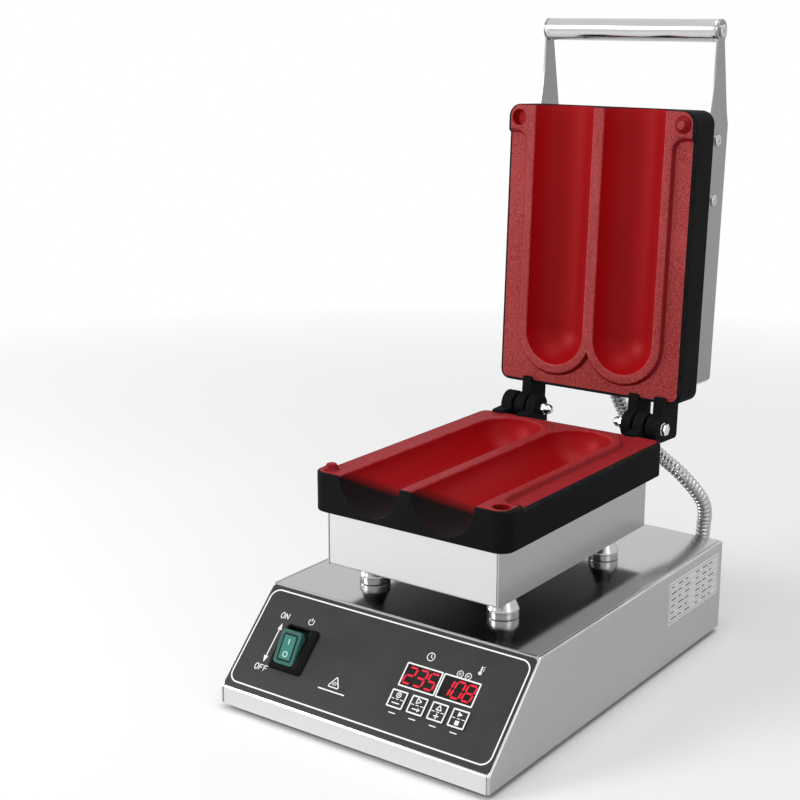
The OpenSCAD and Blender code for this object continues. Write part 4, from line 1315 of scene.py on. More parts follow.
@dataclass
class RockerSwitch:
    """The switch: a tapering bezel with an open mouth, and a two-tone rocker on its pivot."""

    u: float = -75.5
    v: float = 44.5
    foot: Pair = (32.0, 38.0)
    top: Pair = (26.4, 33.4)
    mouth: Pair = (20.2, 32.2)
    low: float = 0.5
    high: float = 6.5
    corner: float = 3.0
    rise: float = 1.3
    rocker_w: float = 19.6
    rocker_l: float = 27.4
    pivot_v: float = 44.2
    pivot_w: float = 2.2
    pivot_r: float = 1.5
    face: float = 7.8
    ends: float = 4.0
    keel: float = 5.0
    dish: float = 0.15
    rocker_corner: float = 2.6
    rocker_rim: float = 0.6
    tilt: float = 14.0
    pane: Pair = (11.0, 18.6)
    # Size of the black strip round the window, which paints the shade of a recessed groove.
    groove: Pair = (12.6, 20.4)

    def bezel(self) -> Shell:
        """Rings from the foot up the tapering sides, over the rim, and down the mouth.

        Up the sides the height is high - rise (1 - sin a) for a from 0 to a right angle.

        Returns:
            The bezel.
        """
        (fw, fl), (tw, tl), (mw, ml), c = self.foot, self.top, self.mouth, self.corner
        rings = [(fw - 0.6, fl - 0.6, self.low, 2.7), (fw, fl, self.low + 0.3, c),
                 (fw, fl, self.low + 1.4, c), (fw - 0.5, fl - 0.5, self.low + 1.9, c)]
        for a in quarter(4):
            below, back = 1 - math.sin(a), self.rise * (1 - math.cos(a))
            rings.append((tw + below - 1.2 * back, tl + below - 0.5 * back, self.high - self.rise * below, c))
        rings += [(mw + 0.6, ml + 0.3, self.high, 0.9), (mw, ml, self.high - 0.5, 0.5), (mw, ml, -3.0, 0.5)]
        rows = [at_height(box_outline(w, l, r, self.u, self.v, 6), z) for w, l, z, r in rings]
        rows = PANEL(np.array(rows))
        wear = np.zeros(len(rows))
        wear[4:8] = 0.7
        return Shell().grid(rows, close_columns=True, edge=wear).cap(rows[-1]).cap(rows[0])

    def tilted(self) -> Place:
        """Axes at the pivot, turned by the tilt: local x to the right, y up the face, z out of it.

        Returns:
            The axes.
        """
        c, s = math.cos(math.radians(self.tilt)), math.sin(math.radians(self.tilt))
        along = np.array(PANEL.along) * c + np.array(PANEL.out) * s
        out = np.array(PANEL.out) * c - np.array(PANEL.along) * s
        pivot = PANEL((self.u, self.pivot_v, self.pivot_w))
        return Place(tuple(pivot), PANEL.across, tuple(along), tuple(out))

    def rocker(self) -> Shell:
        """A cap with rounded corners and a dished face, over a keel that is drawn out along the pivot.

        Returns:
            The rocker.
        """
        w, l, f, h = self.rocker_w, self.rocker_l, self.face, self.rocker_l / 2
        a, rim = quarter(4), self.rocker_rim
        inset = joined([[0.3, 0.0], rim * (1 - np.cos(a)), [1.6, 4.0, 7.0, 9.3]])
        drop = joined([[self.ends, self.ends - 0.3], rim * (1 - np.sin(a)), np.zeros(4)])
        flat = np.array([box_outline(w - 2 * d, l - 2 * d, max(self.rocker_corner - d, 0.2)) for d in inset])
        z = f - self.dish * (1 - (flat[..., 1] / h) ** 2) - drop[:, None]
        at = self.tilted()
        made = Shell().loft(at(joined([flat, z[..., None]], -1)))
        side = Place(at.origin, at.along, at.out, at.across)
        under = f - self.ends + 0.1
        k = self.keel
        keel = np.array([[-h + 1.5, under], [-k, -k], [k, -k], [h - 1.5, under]])
        made.prism(keel, 0.6 - w / 2, w / 2 - 0.6, side, 0.5)
        return made.prism(ring_outline(self.pivot_r, count=24), -w / 2 - 1.6, w / 2 + 1.6, side, 0.2, 1)

    def on_face(self, points: Rows, lift: float) -> Rows:
        """Points of the face: height follows the dish, plus a lift.

        Args:
            points: points in the face's two axes.
            lift: how far they stand out of the face.

        Returns:
            The points in the frame.
        """
        p = np.asarray(points, float)
        z = self.face - self.dish * (1 - (p[..., 1] / (self.rocker_l / 2)) ** 2) + lift
        return self.tilted()(joined([p[..., :2], z[..., None]], -1))

    def inlay(self, w: float, l: float, lift: float) -> Shell:
        """A thin panel that follows the dish: a grid over the face between -w/2..w/2 and -l/2..l/2.

        Args:
            w: its width.
            l: its length.
            lift: how far it stands out of the face.

        Returns:
            The panel.
        """
        x, y = np.meshgrid(np.linspace(-0.5, 0.5, 5) * w, np.linspace(-0.5, 0.5, 15) * l)
        flat = np.stack([x, y], -1)
        top, under = self.on_face(flat, lift), self.on_face(flat, -0.3)
        made = Shell().grid(top).grid(under[:, ::-1])
        for rim in ((top[0], under[0]), (under[-1], top[-1]), (under[:, 0], top[:, 0]),
                    (top[:, -1], under[:, -1])):
            made.grid(np.stack(rim))
        return made

    def mark(self, path: Rows, width: float, lift: float, closed: bool = False) -> Shell:
        """A printed line on the face.

        Args:
            path: the middle of the line.
            width: its width.
            lift: how far it stands out of the face.
            closed: it ends where it starts.

        Returns:
            The line.
        """
        drawn = Shell().ribbon(np.asarray(path, float), width, 0.0, 0.05, STANDING, closed)
        out = np.array(self.tilted().out)
        drawn.points = [self.on_face(p[:, :2], 0.0) + np.outer(p[:, 2] + lift, out) for p in drawn.points]
        return drawn

    def build(self) -> None:
        """Makes the switch's pieces."""
        set_up("switch_bezel", self.bezel(), Finishes.SWITCH, stands_for=("switch_housing",))
        set_up("rocker_body", self.rocker(), Finishes.ROCKER, "rocker", ("switch_rocker",))
        set_up("rocker_window", self.inlay(*self.pane, 0.22), Finishes.ROCKER_LIT, "rocker")
        # A black strip round the window paints the shade of a recessed groove.
        line = box_outline(*self.groove, 1.2, steps=3)
        dense = [np.linspace(a, b, 6, endpoint=False) for a, b in zip(line, np.roll(line, -1, axis=0))]
        set_up("rocker_groove_shade", self.mark(joined(dense), 1.3, 0.08, True), Finishes.SWITCH, "rocker")
        ink = self.mark([[0, 2.4], [0, 4.4], [0, 6.6]], 0.9, 0.23)
        ink.join(self.mark(ring_outline(2.0, 0.0, -5.4, 28), 0.7, 0.23, True))
        set_up("rocker_marks", ink, Finishes.ROCKER_INK, "rocker")


# ---------- small turned and headed parts ----------


def cross_head(radius: float, height: float, place: Placing, shank: float) -> Shell:
    """A pan head with a cross recess, and a plain shank behind it.

    The head is a grid of radius and angle. Its height is h (1 - 0.55 (r / R)^3.2) over a short side
    wall, less a recess where the smaller of |x| and |y| is under the slot's half width and the larger
    is under its reach.

    Args:
        radius: the head's radius.
        height: its height.
        place: its axes, with the face that it sits on at 0.
        shank: the shank's length.

    Returns:
        The screw.
    """
    r = joined([np.linspace(0.0, 0.92, 14), [0.97, 1.0]]) * radius
    t = np.arange(64) * 2 * np.pi / 64
    x, y = r[:, None] * np.cos(t), r[:, None] * np.sin(t)
    small, large = np.minimum(abs(x), abs(y)), np.maximum(abs(x), abs(y))
    within = np.clip((0.14 * radius - small) / (0.05 * radius), 0, 1)
    slot = within * np.clip((0.56 * radius - large) / (0.1 * radius), 0, 1)
    rise = height * (0.45 + 0.55 * (1 - (r[:, None] / radius) ** 3.2)) - 0.55 * height * slot
    top = np.stack([x, y, rise], -1)
    wall = np.stack([x[-1:], y[-1:], np.zeros((1, 64))], -1)
    rows = place(joined([top, wall]))
    made = Shell().grid(rows, close_columns=True, edge=np.linspace(0, 1, len(rows)) ** 4).cap(rows[-1])
    return made.prism(ring_outline(0.5 * radius, count=20), -shank, 0.1, place, 0.1, 1)


def hexagon(r: float) -> Rows:
    """Six-sided outline with slightly rounded corners, r to the corners."""
    return rounded(ring_outline(r, count=6), 0.5, 2)


# ---------- pillars and lower heater unit ----------


def dress_heater(level: str) -> None:
    """Finishes for what a heater box hides.

    Args:
        level: lower or upper.
    """
    for part, finish, slot in (("heater", Finishes.SHEATH, "heater_sheath"),
                               ("heat_shield", Finishes.INSIDE, "plain_sheet"),
                               ("insulation", Finishes.WOOL, "ceramic_wool"),
                               ("probe", Finishes.PROBE, "probe_steel"),
                               ("plate_screws", Finishes.SCREW, "screw_steel")):
        dress(f"{level}_{part}", finish)


@dataclass
class LowerUnit:
    """Four turned pillars and the folded heater box that stands on them."""

    width: float = 159.0
    y0: float = -105.7
    y1: float = 123.9
    z0: float = 105.3
    z1: float = 150.3
    sheet: float = 1.2
    under: float = 0.4
    flange: float = 13.0
    pillar_x: float = 61.0
    pillar_y: Pair = (-68.9, 87.1)
    pillar_profile: Profile = (
        (3.1, 0.02), (11.8, 0.02), (12.4, 0.5), (12.5, 1.0), (12.5, 4.9), (12.1, 5.2), (12.1, 5.7),
        (12.5, 6.0), (12.5, 6.9), (12.1, 7.5), (10.6, 11.1), (9.2, 14.4), (7.9, 17.6), (7.2, 18.2),
        (7.0, 19.0), (7.0, 21.28), (3.1, 21.28))

    def pillar(self, sx: int, y: float) -> Shell:
        """A turned pillar: a collar with a groove, a straight cone and a neck."""
        return Shell().lathe(np.array(self.pillar_profile), Place((sx * self.pillar_x, y, CASE_TOP)), 64)

    def wall(self) -> Shell:
        """The right side wall with its flange under the plate.

        Returns:
            The wall.
        """
        half, l, mid = self.width / 2, self.y1 - self.y0, (self.y0 + self.y1) / 2
        outline = box_outline(l, self.z1 - self.z0, 0.5, mid, (self.z0 + self.z1) / 2, 3)
        made = Shell().prism(outline, half - self.sheet, half, SIDE_VIEW, (0.1, 0.35))
        flange = box_outline(self.flange, l - 3.0, 0.4, half - 7.0, mid, 2)
        return made.prism(flange, self.z1 - self.sheet, self.z1 - 0.02, STANDING, 0.1, 1)

    def trough(self) -> Shell:
        """Front wall, floor and rear wall, folded from one sheet; mark 1 is the underside, given a dark copy
        of the steel as painted shade.

        Returns:
            The sheet.
        """
        half = self.width / 2 - self.sheet - 0.45
        y0, y1, z0, z1, t = self.y0, self.y1, self.z0, self.z1 - 0.02, self.sheet
        corners = [[y0, z0], [y1, z0], [y1, z1], [y1 - t, z1], [y1 - t, z0 + t], [y0 + t, z0 + t],
                   [y0 + t, z1], [y0, z1]]
        outline = rounded(np.array(corners), np.array([2.0, 2.0, 0.4, 0.4, 0.8, 0.8, 0.4, 0.4]), 5)
        return Shell().prism(outline, -half, half, SIDE_VIEW, 0.3).marked_where(2, z0 + self.under)

    def build(self) -> None:
        """Makes the pillars and the box."""
        for y, end in zip(self.pillar_y, ("front", "rear")):
            for sx, side in SIDES:
                node = f"pillar_{end}_{side}"
                set_up(f"turned_{node}", self.pillar(sx, y), Finishes.TURNED, stands_for=(node,))
        # The box wears the lightened housing steel, and its underside a dark copy of it as painted shade.
        set_up("heater_box", self.trough(), [Finishes.HOUSING, Finishes.UNDER_SHADE], stands_for=("lower_housing",))
        # The side walls wear a darker copy of the housing steel: painted shade.
        for hand, side in SIDES:
            set_up(f"heater_box_{side}", self.wall().on_side(hand), Finishes.HOUSING_SIDE_SHADED, "base",
                   (f"lower_side_{side}",))
        dress("pillar_bolts", Finishes.SCREW)
        dress_heater("lower")


# ---------- cast plates ----------


class Coat(IntEnum):
    """Marks of a plate's faces."""

    BARE = 0
    CHANNEL = 1
    LAND = 2
    STEP = 3


@dataclass
class CastPlate:
    """A heated plate with two round-ended channels, drawn as the lower one: contact level at 0.

    It is swept along a channel. At each station there is a foot point on the channel's centre line, a
    direction across, a point on the step's edge and one on the inset outline, and the section between
    them runs up the channel, over the lip, across the land, down the step and over the recess.
    """

    thickness: float
    half_w: float = 90.0
    length: float = 246.4
    corner: float = 12.0
    rear_corner: float = 9.0
    rim: float = 3.0
    relief: float = 3.3
    channel_x: float = 33.7
    channel_r: float = 28.5
    channel_end: float = 197.5
    band_r: float = 36.3
    lip: float = 1.2
    step: Pair = (-1.0, 2.6)
    pad: float = 22.5
    fillet: float = 10.0
    front: float = 0.7
    heel: float = 1.2
    peg: Pair = (-78.5, 11.5)
    axis: Pair = (267.0, 0.2)
    lug_r: float = 12.2
    lug_low: float = -28.0
    lugs: Profile = ((-78.0, -67.0), (-52.0, -43.0), (55.0, 64.0))
    peg_profile: Profile = ((0.0, -2.0), (8.2, -2.0), (7.6, 0.0), (6.7, 0.35), (6.1, 1.2))
    peg_crown: Profile = (
        (0.0, 3.6), (4.0, 3.6), (4.08, 3.9), (3.9, 4.2), (3.5, 4.45), (3.1, 4.55), (0.0, 4.55))
    socket_profile: Profile = (
        (0.0, -5.5), (6.4, -5.5), (6.8, -5.1), (6.8, -0.5), (7.5, 0.3), (7.5, 3.0), (0.0, 3.0))

    def inner_leg(self) -> dict[str, Rows]:
        """Stations beside the land, from the front to the round end.

        Returns:
            The values at each station, by name.
        """
        legs = np.array([self.front, 12.0, 25.0, 60.0, 100.0, 150.0])
        n, zero = len(legs), np.zeros(len(legs))
        middle = np.stack([zero, legs], 1)
        return dict(foot=middle + (self.channel_x, 0.0), across=each((-1.0, 0.0), n), edge=middle,
                    fall=each((-1.0, 0.0), n), end=middle, away=each((0.0, 1.0), n), drop=zero, rim=zero)

    def rays(self) -> tuple[Rows, float, float]:
        """Angles of the rays round the channel's end, from the middle to the side.

        Returns:
            The angles in degrees, the one where the bands part, and the one where the rear edge starts.
        """
        q, r = self.half_w - self.rim - self.channel_x, self.rear_corner - self.rim
        rear = self.length - self.rim - self.channel_end
        clear = math.degrees(math.acos(-self.channel_x / self.band_r))
        middle = math.degrees(math.atan2(rear, -self.channel_x))
        bend = on_circle(quarter(6), r, q - r, rear - r)
        corner = np.degrees(np.arctan2(bend[:, 1], bend[:, 0]))
        just = 1e-3
        turn = joined([np.linspace(180, clear, 5), np.linspace(clear - just, middle, 8),
                               np.linspace(middle - just, corner[-1] + 2, 16), corner[::-1],
                               np.linspace(corner[0] - 3, 0, 8)])
        return turn, clear, middle

    def round_end(self) -> dict[str, Rows]:
        """Stations round the channel's end: rays from its centre, also beside each change of outline.

        A ray at angle a ends where it first meets the middle, the side, the rear or a corner's circle.

        Returns:
            The values at each station, by name.
        """
        cx, ye, q = self.channel_x, self.channel_end, self.half_w - self.rim
        rear, r = self.length - self.rim, self.rear_corner - self.rim
        turn, clear, middle = self.rays()
        d = on_circle(np.radians(turn))
        drop = (turn < clear).astype(float)
        tiny = 1e-9
        with np.errstate(divide="ignore", invalid="ignore"):
            to_middle = np.where(d[:, 0] < -tiny, cx / -d[:, 0], np.inf)
            to_side = np.where(d[:, 0] > tiny, (q - cx) / d[:, 0], np.inf)
            to_rear = np.where(d[:, 1] > tiny, (rear - ye) / d[:, 1], np.inf)
        centre = np.array([q - r - cx, rear - r - ye])
        along = d @ centre
        arc = along + np.sqrt(np.maximum(along**2 - centre @ centre + r * r, 0))
        in_corner = (d * arc[:, None] >= centre - 1e-6).all(axis=1) & (d[:, 0] > 0)
        reach = np.where(in_corner, arc, np.minimum(np.minimum(to_middle, to_side), to_rear))
        edge_r = np.where(drop > 0, self.band_r, np.minimum(to_middle, self.band_r))
        reach = np.maximum(reach, edge_r + self.step[1] * drop)
        foot = each((cx, ye), len(turn))
        end, edge = foot + d * reach[:, None], foot + d * edge_r[:, None]
        end[:, 0], edge[:, 0] = np.maximum(end[:, 0], 0.0), np.maximum(edge[:, 0], 0.0)
        away = np.where(in_corner[:, None], (d * reach[:, None] - centre) / r,
                        np.where((to_side < to_rear)[:, None], [1.0, 0.0], [0.0, 1.0]))
        return dict(foot=foot, across=d, edge=edge, fall=d, end=end, away=away, drop=drop,
                    rim=(turn < middle) * self.rim)

    def outer_leg(self) -> dict[str, Rows]:
        """Stations down the side: straight, round the fillet, along the pad's end, and round the corner.

        Round the front corner the rim's radius falls evenly to that of the front edge.

        Returns:
            The values at each station, by name.
        """
        pad, f, c = self.pad, self.fillet, self.corner
        x0, q = self.channel_x + self.band_r, self.half_w - self.rim
        ys, down = np.array([150.0, 100.0, 60.0, pad + f]), np.array([pad, 17.0])
        turn, bend = np.radians(np.linspace(186, 270, 8)), np.radians(np.linspace(0.0, -90.0, 12))
        xs = np.linspace(x0 + f + 2.0, q, 4)
        straight, stepped = len(ys), len(ys) + len(turn) + len(xs)
        side = stepped + len(down)
        unit = on_circle(bend)
        rim = joined([np.full(side, self.rim), np.linspace(self.rim, self.front, len(bend))])
        corner = (self.half_w - c, c) + unit * (c - rim[side:, None])
        edge = joined([np.stack([np.full(straight, x0), ys], 1), on_circle(turn, f, x0 + f, pad + f),
                               np.stack([xs, np.full(len(xs), pad)], 1),
                               np.stack([np.full(2, q), down], 1), corner])
        fall = joined([each((1.0, 0.0), straight), -on_circle(turn), each((0.0, 1.0), len(xs)),
                               each((1.0, 0.0), 2), unit])
        foot_y = joined([ys, np.linspace(pad + f - 1, pad + 2, 8), np.linspace(pad + 1, pad - 2, 4),
                                 [pad - 4, 14.5], np.linspace(c - 1.5, self.front, len(bend))])
        low = pad + self.step[1]
        end_y = joined([ys, np.linspace(pad + f - 1, low, 8), np.full(4, low), down])
        end = joined([np.stack([np.full(side, q), end_y], 1), corner])
        away = joined([each((1.0, 0.0), side), unit])
        k = len(edge)
        drop = (np.arange(k) < stepped).astype(float)
        return dict(foot=np.stack([np.full(k, self.channel_x), foot_y], 1), across=each((1.0, 0.0), k),
                    edge=edge, fall=fall, end=end, away=away, drop=drop, rim=rim)

    def half(self) -> tuple[Shell, Rows, Rows]:
        """The right half's working face and outside.

        Channel: foot + across R sin a, height -R cos a. Lip: a quarter round of its own radius. Step:
        height -relief (3 u^2 - 2 u^3) for u from 0 to 1 over its width, scaled by the station's drop.
        Outside: a quarter round of the rim's radius, the side, and a small round to the back.

        Returns:
            The faces, their section at the front, and the edge of the back.
        """
        parts = [self.inner_leg(), self.round_end(), self.outer_leg()]
        s = {key: joined([part[key] for part in parts]) for key in parts[0]}
        r, e = self.channel_r, self.lip
        a, q = np.linspace(0.0, math.acos(e / r), 26), quarter(4)[1:]
        across = joined([r * np.sin(a), r + e - e * np.cos(q)])
        height = joined([-r * np.cos(a), -e + e * np.sin(q)])
        flat = s["foot"][:, None] + s["across"][:, None] * across[None, :, None]
        level = np.broadcast_to(height[:, None], flat.shape[:2] + (1,))
        channel = joined([flat, level], -1)
        u = np.linspace(0.0, 1.0, 11)
        drop = s["drop"][:, None, None]
        ahead = (self.step[0] + (self.step[1] - self.step[0]) * u)[None, :, None]
        fall = (-self.relief * (3 * u**2 - 2 * u**3))[None, :, None]
        step = joined([s["edge"][:, None] + s["fall"][:, None] * ahead * drop, fall * drop], -1)
        step[..., 0] = np.maximum(step[..., 0], 0.0)
        end = np.column_stack([s["end"], -self.relief * s["drop"]])[:, None]
        face = joined([channel, step, end], 1)
        wear = joined([np.zeros(25), [0.3, 0.7, 1.0, 0.7, 0.2],
                               0.8 * np.sin(np.pi * u.clip(0, 0.7) / 0.7), [0.0]])
        marks = np.full((len(face) - 1, face.shape[1] - 1), int(Coat.LAND))
        # The step walls take the darker step coating: painted shade.
        marks[:, :26], marks[:, 32:39] = Coat.CHANNEL, Coat.STEP
        q, r = quarter(6), s["rim"][:, None]
        out = joined([r * np.sin(q), r - self.heel * (1 - np.cos(q))], 1)
        top = -self.relief * s["drop"][:, None] - r * (1 - np.cos(q))
        back = np.broadcast_to(-self.thickness + self.heel * (1 - np.sin(q)), top.shape)
        side = joined([s["end"][:, None] + s["away"][:, None] * out[..., None],
                               joined([top, back], 1)[..., None]], -1)[s["rim"] > 0]
        made = Shell().grid(face, mark=marks, edge=wear[None])
        made.grid(side, mark=int(Coat.BARE), edge=joined([np.sin(2 * q) ** 2, np.zeros(7)])[None])
        return made, joined([face[0][::-1], face[-1][1:]]), side[:, -1]

    def casting(self) -> Shell:
        """The whole plate without its peg, socket and lugs.

        The front section moves into the metal by r (1 - cos a) while y runs to r (1 - sin a), and a flat
        face closes it over a straight round along the back.

        Returns:
            The plate.
        """
        right, front, under = self.half()
        made = right.join(right.mirrored())
        flip = np.array([-1.0, 1.0, 1.0])
        line = joined([(front * flip)[::-1], front])
        line = line[joined([[True], np.linalg.norm(np.diff(line, axis=0), axis=1) > 1e-4])][:, [0, 2]]
        d = np.diff(line, axis=0)
        d /= np.linalg.norm(d, axis=1, keepdims=True)
        inward = np.stack([d[:, 1], -d[:, 0]], 1)
        before, after = np.vstack([inward[:1], inward]), np.vstack([inward, inward[-1:]])
        shift = (before + after) / (1.0 + np.sum(before * after, axis=1, keepdims=True))
        q = quarter(6)
        flat = line[None] + self.front * (1 - np.cos(q))[:, None, None] * shift[None]
        y = np.broadcast_to(self.front * (1 - np.sin(q))[:, None], flat.shape[:2])
        rows = np.stack([flat[..., 0], y, flat[..., 1]], -1)
        made.grid(rows, edge=np.sin(2 * q) ** 2)
        x = self.half_w - self.corner
        section = np.stack([self.heel * (1 - np.cos(q)), self.heel * (1 - np.sin(q)) - self.thickness], 1)
        heel = np.stack([np.column_stack([np.full(len(q), side), section]) for side in (-x, x)], 1)
        made.grid(heel)
        made.cap(joined([rows[-1], heel[0][::-1]]))
        return made.cap(joined([under, (under * flip)[::-1]]))

    def lug(self, x0: float, x1: float) -> Shell:
        """A hinge lug: a round knuckle on the axis with a block under it, drawn in the side view.

        Args:
            x0: its left face.
            x1: its right face.

        Returns:
            The lug.
        """
        (y, z), r, low = self.axis, self.lug_r, self.lug_low
        arc = on_circle(np.radians(np.linspace(0, 180, 19)), r, y, z)
        block = [[self.length - 6.0, -0.4], [self.length - 6.0, low + 0.3], [y + r - 3, low],
                 [y + r - 0.9, low + 0.9], [y + r, low + 3]]
        return Shell().prism(joined([arc, block]), x0, x1, SIDE_VIEW, 1.1, 4)

    def attached(self) -> Shell:
        """The peg on the left pad and the lugs.

        Returns:
            Their faces.
        """
        place = Place((*self.peg, 0.0))
        profile = joined([self.peg_profile, on_circle(quarter(4), 0.7, 3.4, 3.8), [[0.0, 4.5]]])
        # The peg's foot takes the darker step coating, which paints a ring of shade round it.
        made = Shell().lathe(profile, place, 40, closed=False, mark=Coat.STEP)
        made.lathe(np.array(self.peg_crown), place, 40, closed=False, mark=Coat.LAND)
        for x0, x1 in self.lugs:
            made.join(self.lug(x0, x1))
        return made

    def bore_socket(self, obj: Object, place: Placing) -> None:
        """Cuts the round socket into the right pad of a finished casting.

        Args:
            obj: the casting.
            place: where it stands.
        """
        at = Place((-self.peg[0], self.peg[1], 0.0))
        tool = Shell().lathe(np.array(self.socket_profile), at, 40, closed=False).placed(place)
        cutter = bpy.data.objects.new("socket_tool", make_mesh("socket_tool", tool))
        bpy.context.scene.collection.objects.link(cutter)
        cutter.data.materials.append(Finishes.CHANNEL.material())
        cut = obj.modifiers.new("socket", "BOOLEAN")
        cut.operation, cut.object, cut.solver = "DIFFERENCE", cutter, "EXACT"
        bpy.context.view_layer.update()
        solid = bpy.data.meshes.new_from_object(obj.evaluated_get(bpy.context.evaluated_depsgraph_get()))
        obj.modifiers.remove(cut)
        old, obj.data = obj.data, solid
        bpy.data.objects.remove(cutter)
        bpy.data.meshes.remove(old)
        solid.set_sharp_from_angle(angle=math.radians(SHARP))

    def build(self, name: str, node: str, body: str, place: Placing) -> None:
        """Makes the casting, cuts its socket, and adds the peg and lugs as cast on.

        Args:
            name: the piece's name.
            node: the construction node that it is shown for.
            body: the body that it moves with.
            place: where it stands.
        """
        # The lid's lands wear the lighter coating as painted light, and the lower plate's lands a darker copy
        # as painted shade.
        land = Finishes.LAND if body == "lid" else Finishes.SHADED_LAND
        finishes = [Finishes.BODY, Finishes.CHANNEL, land, Finishes.STEP]
        plate = set_up(name, self.casting().placed(place), finishes, body, (node,),
                       weighted=False)
        self.bore_socket(plate, place)
        even_faces(plate)
        set_up(f"{name}_lugs", self.attached().placed(place), finishes, body)


@dataclass
class Hinges:
    """A bolt from the outer side and a domed nut inside at each hinge."""

    outer: float = 78.0
    inner: float = 43.0
    bolt_r: float = 3.0
    dome_r: float = 4.6

    def bolt(self, side: int) -> Shell:
        """Hexagon head with a chamfer, a washer face and the shank.

        Args:
            side: -1 for the left one and 1 for the right one.

        Returns:
            The bolt.
        """
        at = facing_out(side, side * self.outer, HINGE_Y, HINGE_Z)
        made = Shell().prism(hexagon(5.5), 0.5, 4.0, at, (0.1, 0.6), 4)
        made.prism(ring_outline(5.6, count=36), 0.02, 0.6, at, 0.15, 2)
        return made.prism(ring_outline(self.bolt_r, count=24), -self.outer + self.inner - 3, 0.1, at, 0.1, 1)

    def nut(self, side: int) -> Shell:
        """Hexagon with a dome: the dome's profile is a quarter circle on a short neck.

        Args:
            side: -1 for the left one and 1 for the right one.

        Returns:
            The nut.
        """
        at = facing_out(-side, side * self.inner, HINGE_Y, HINGE_Z)
        made = Shell().prism(hexagon(5.6), 0.02, 5.5, at, (0.3, 0.7), 4)
        dome = on_circle(quarter(11), self.dome_r, 0.0, 8.0)
        return made.lathe(joined([[[0.0, 5.0], [self.dome_r, 5.0]], dome]), at, 40, closed=False)

    def build(self) -> None:
        """Makes the bolts and nuts: the left ones stay with the base and the right ones with the lid."""
        for (hand, side), body in zip(SIDES, ("base", "lid")):
            for part, shell in (("bolt", self.bolt(hand)), ("nut", self.nut(hand))):
                set_up(f"hinge_{side}_{part}", shell, Finishes.ZINC, body, (f"hinge_{part}_{side}",))


# ---------- lid ----------


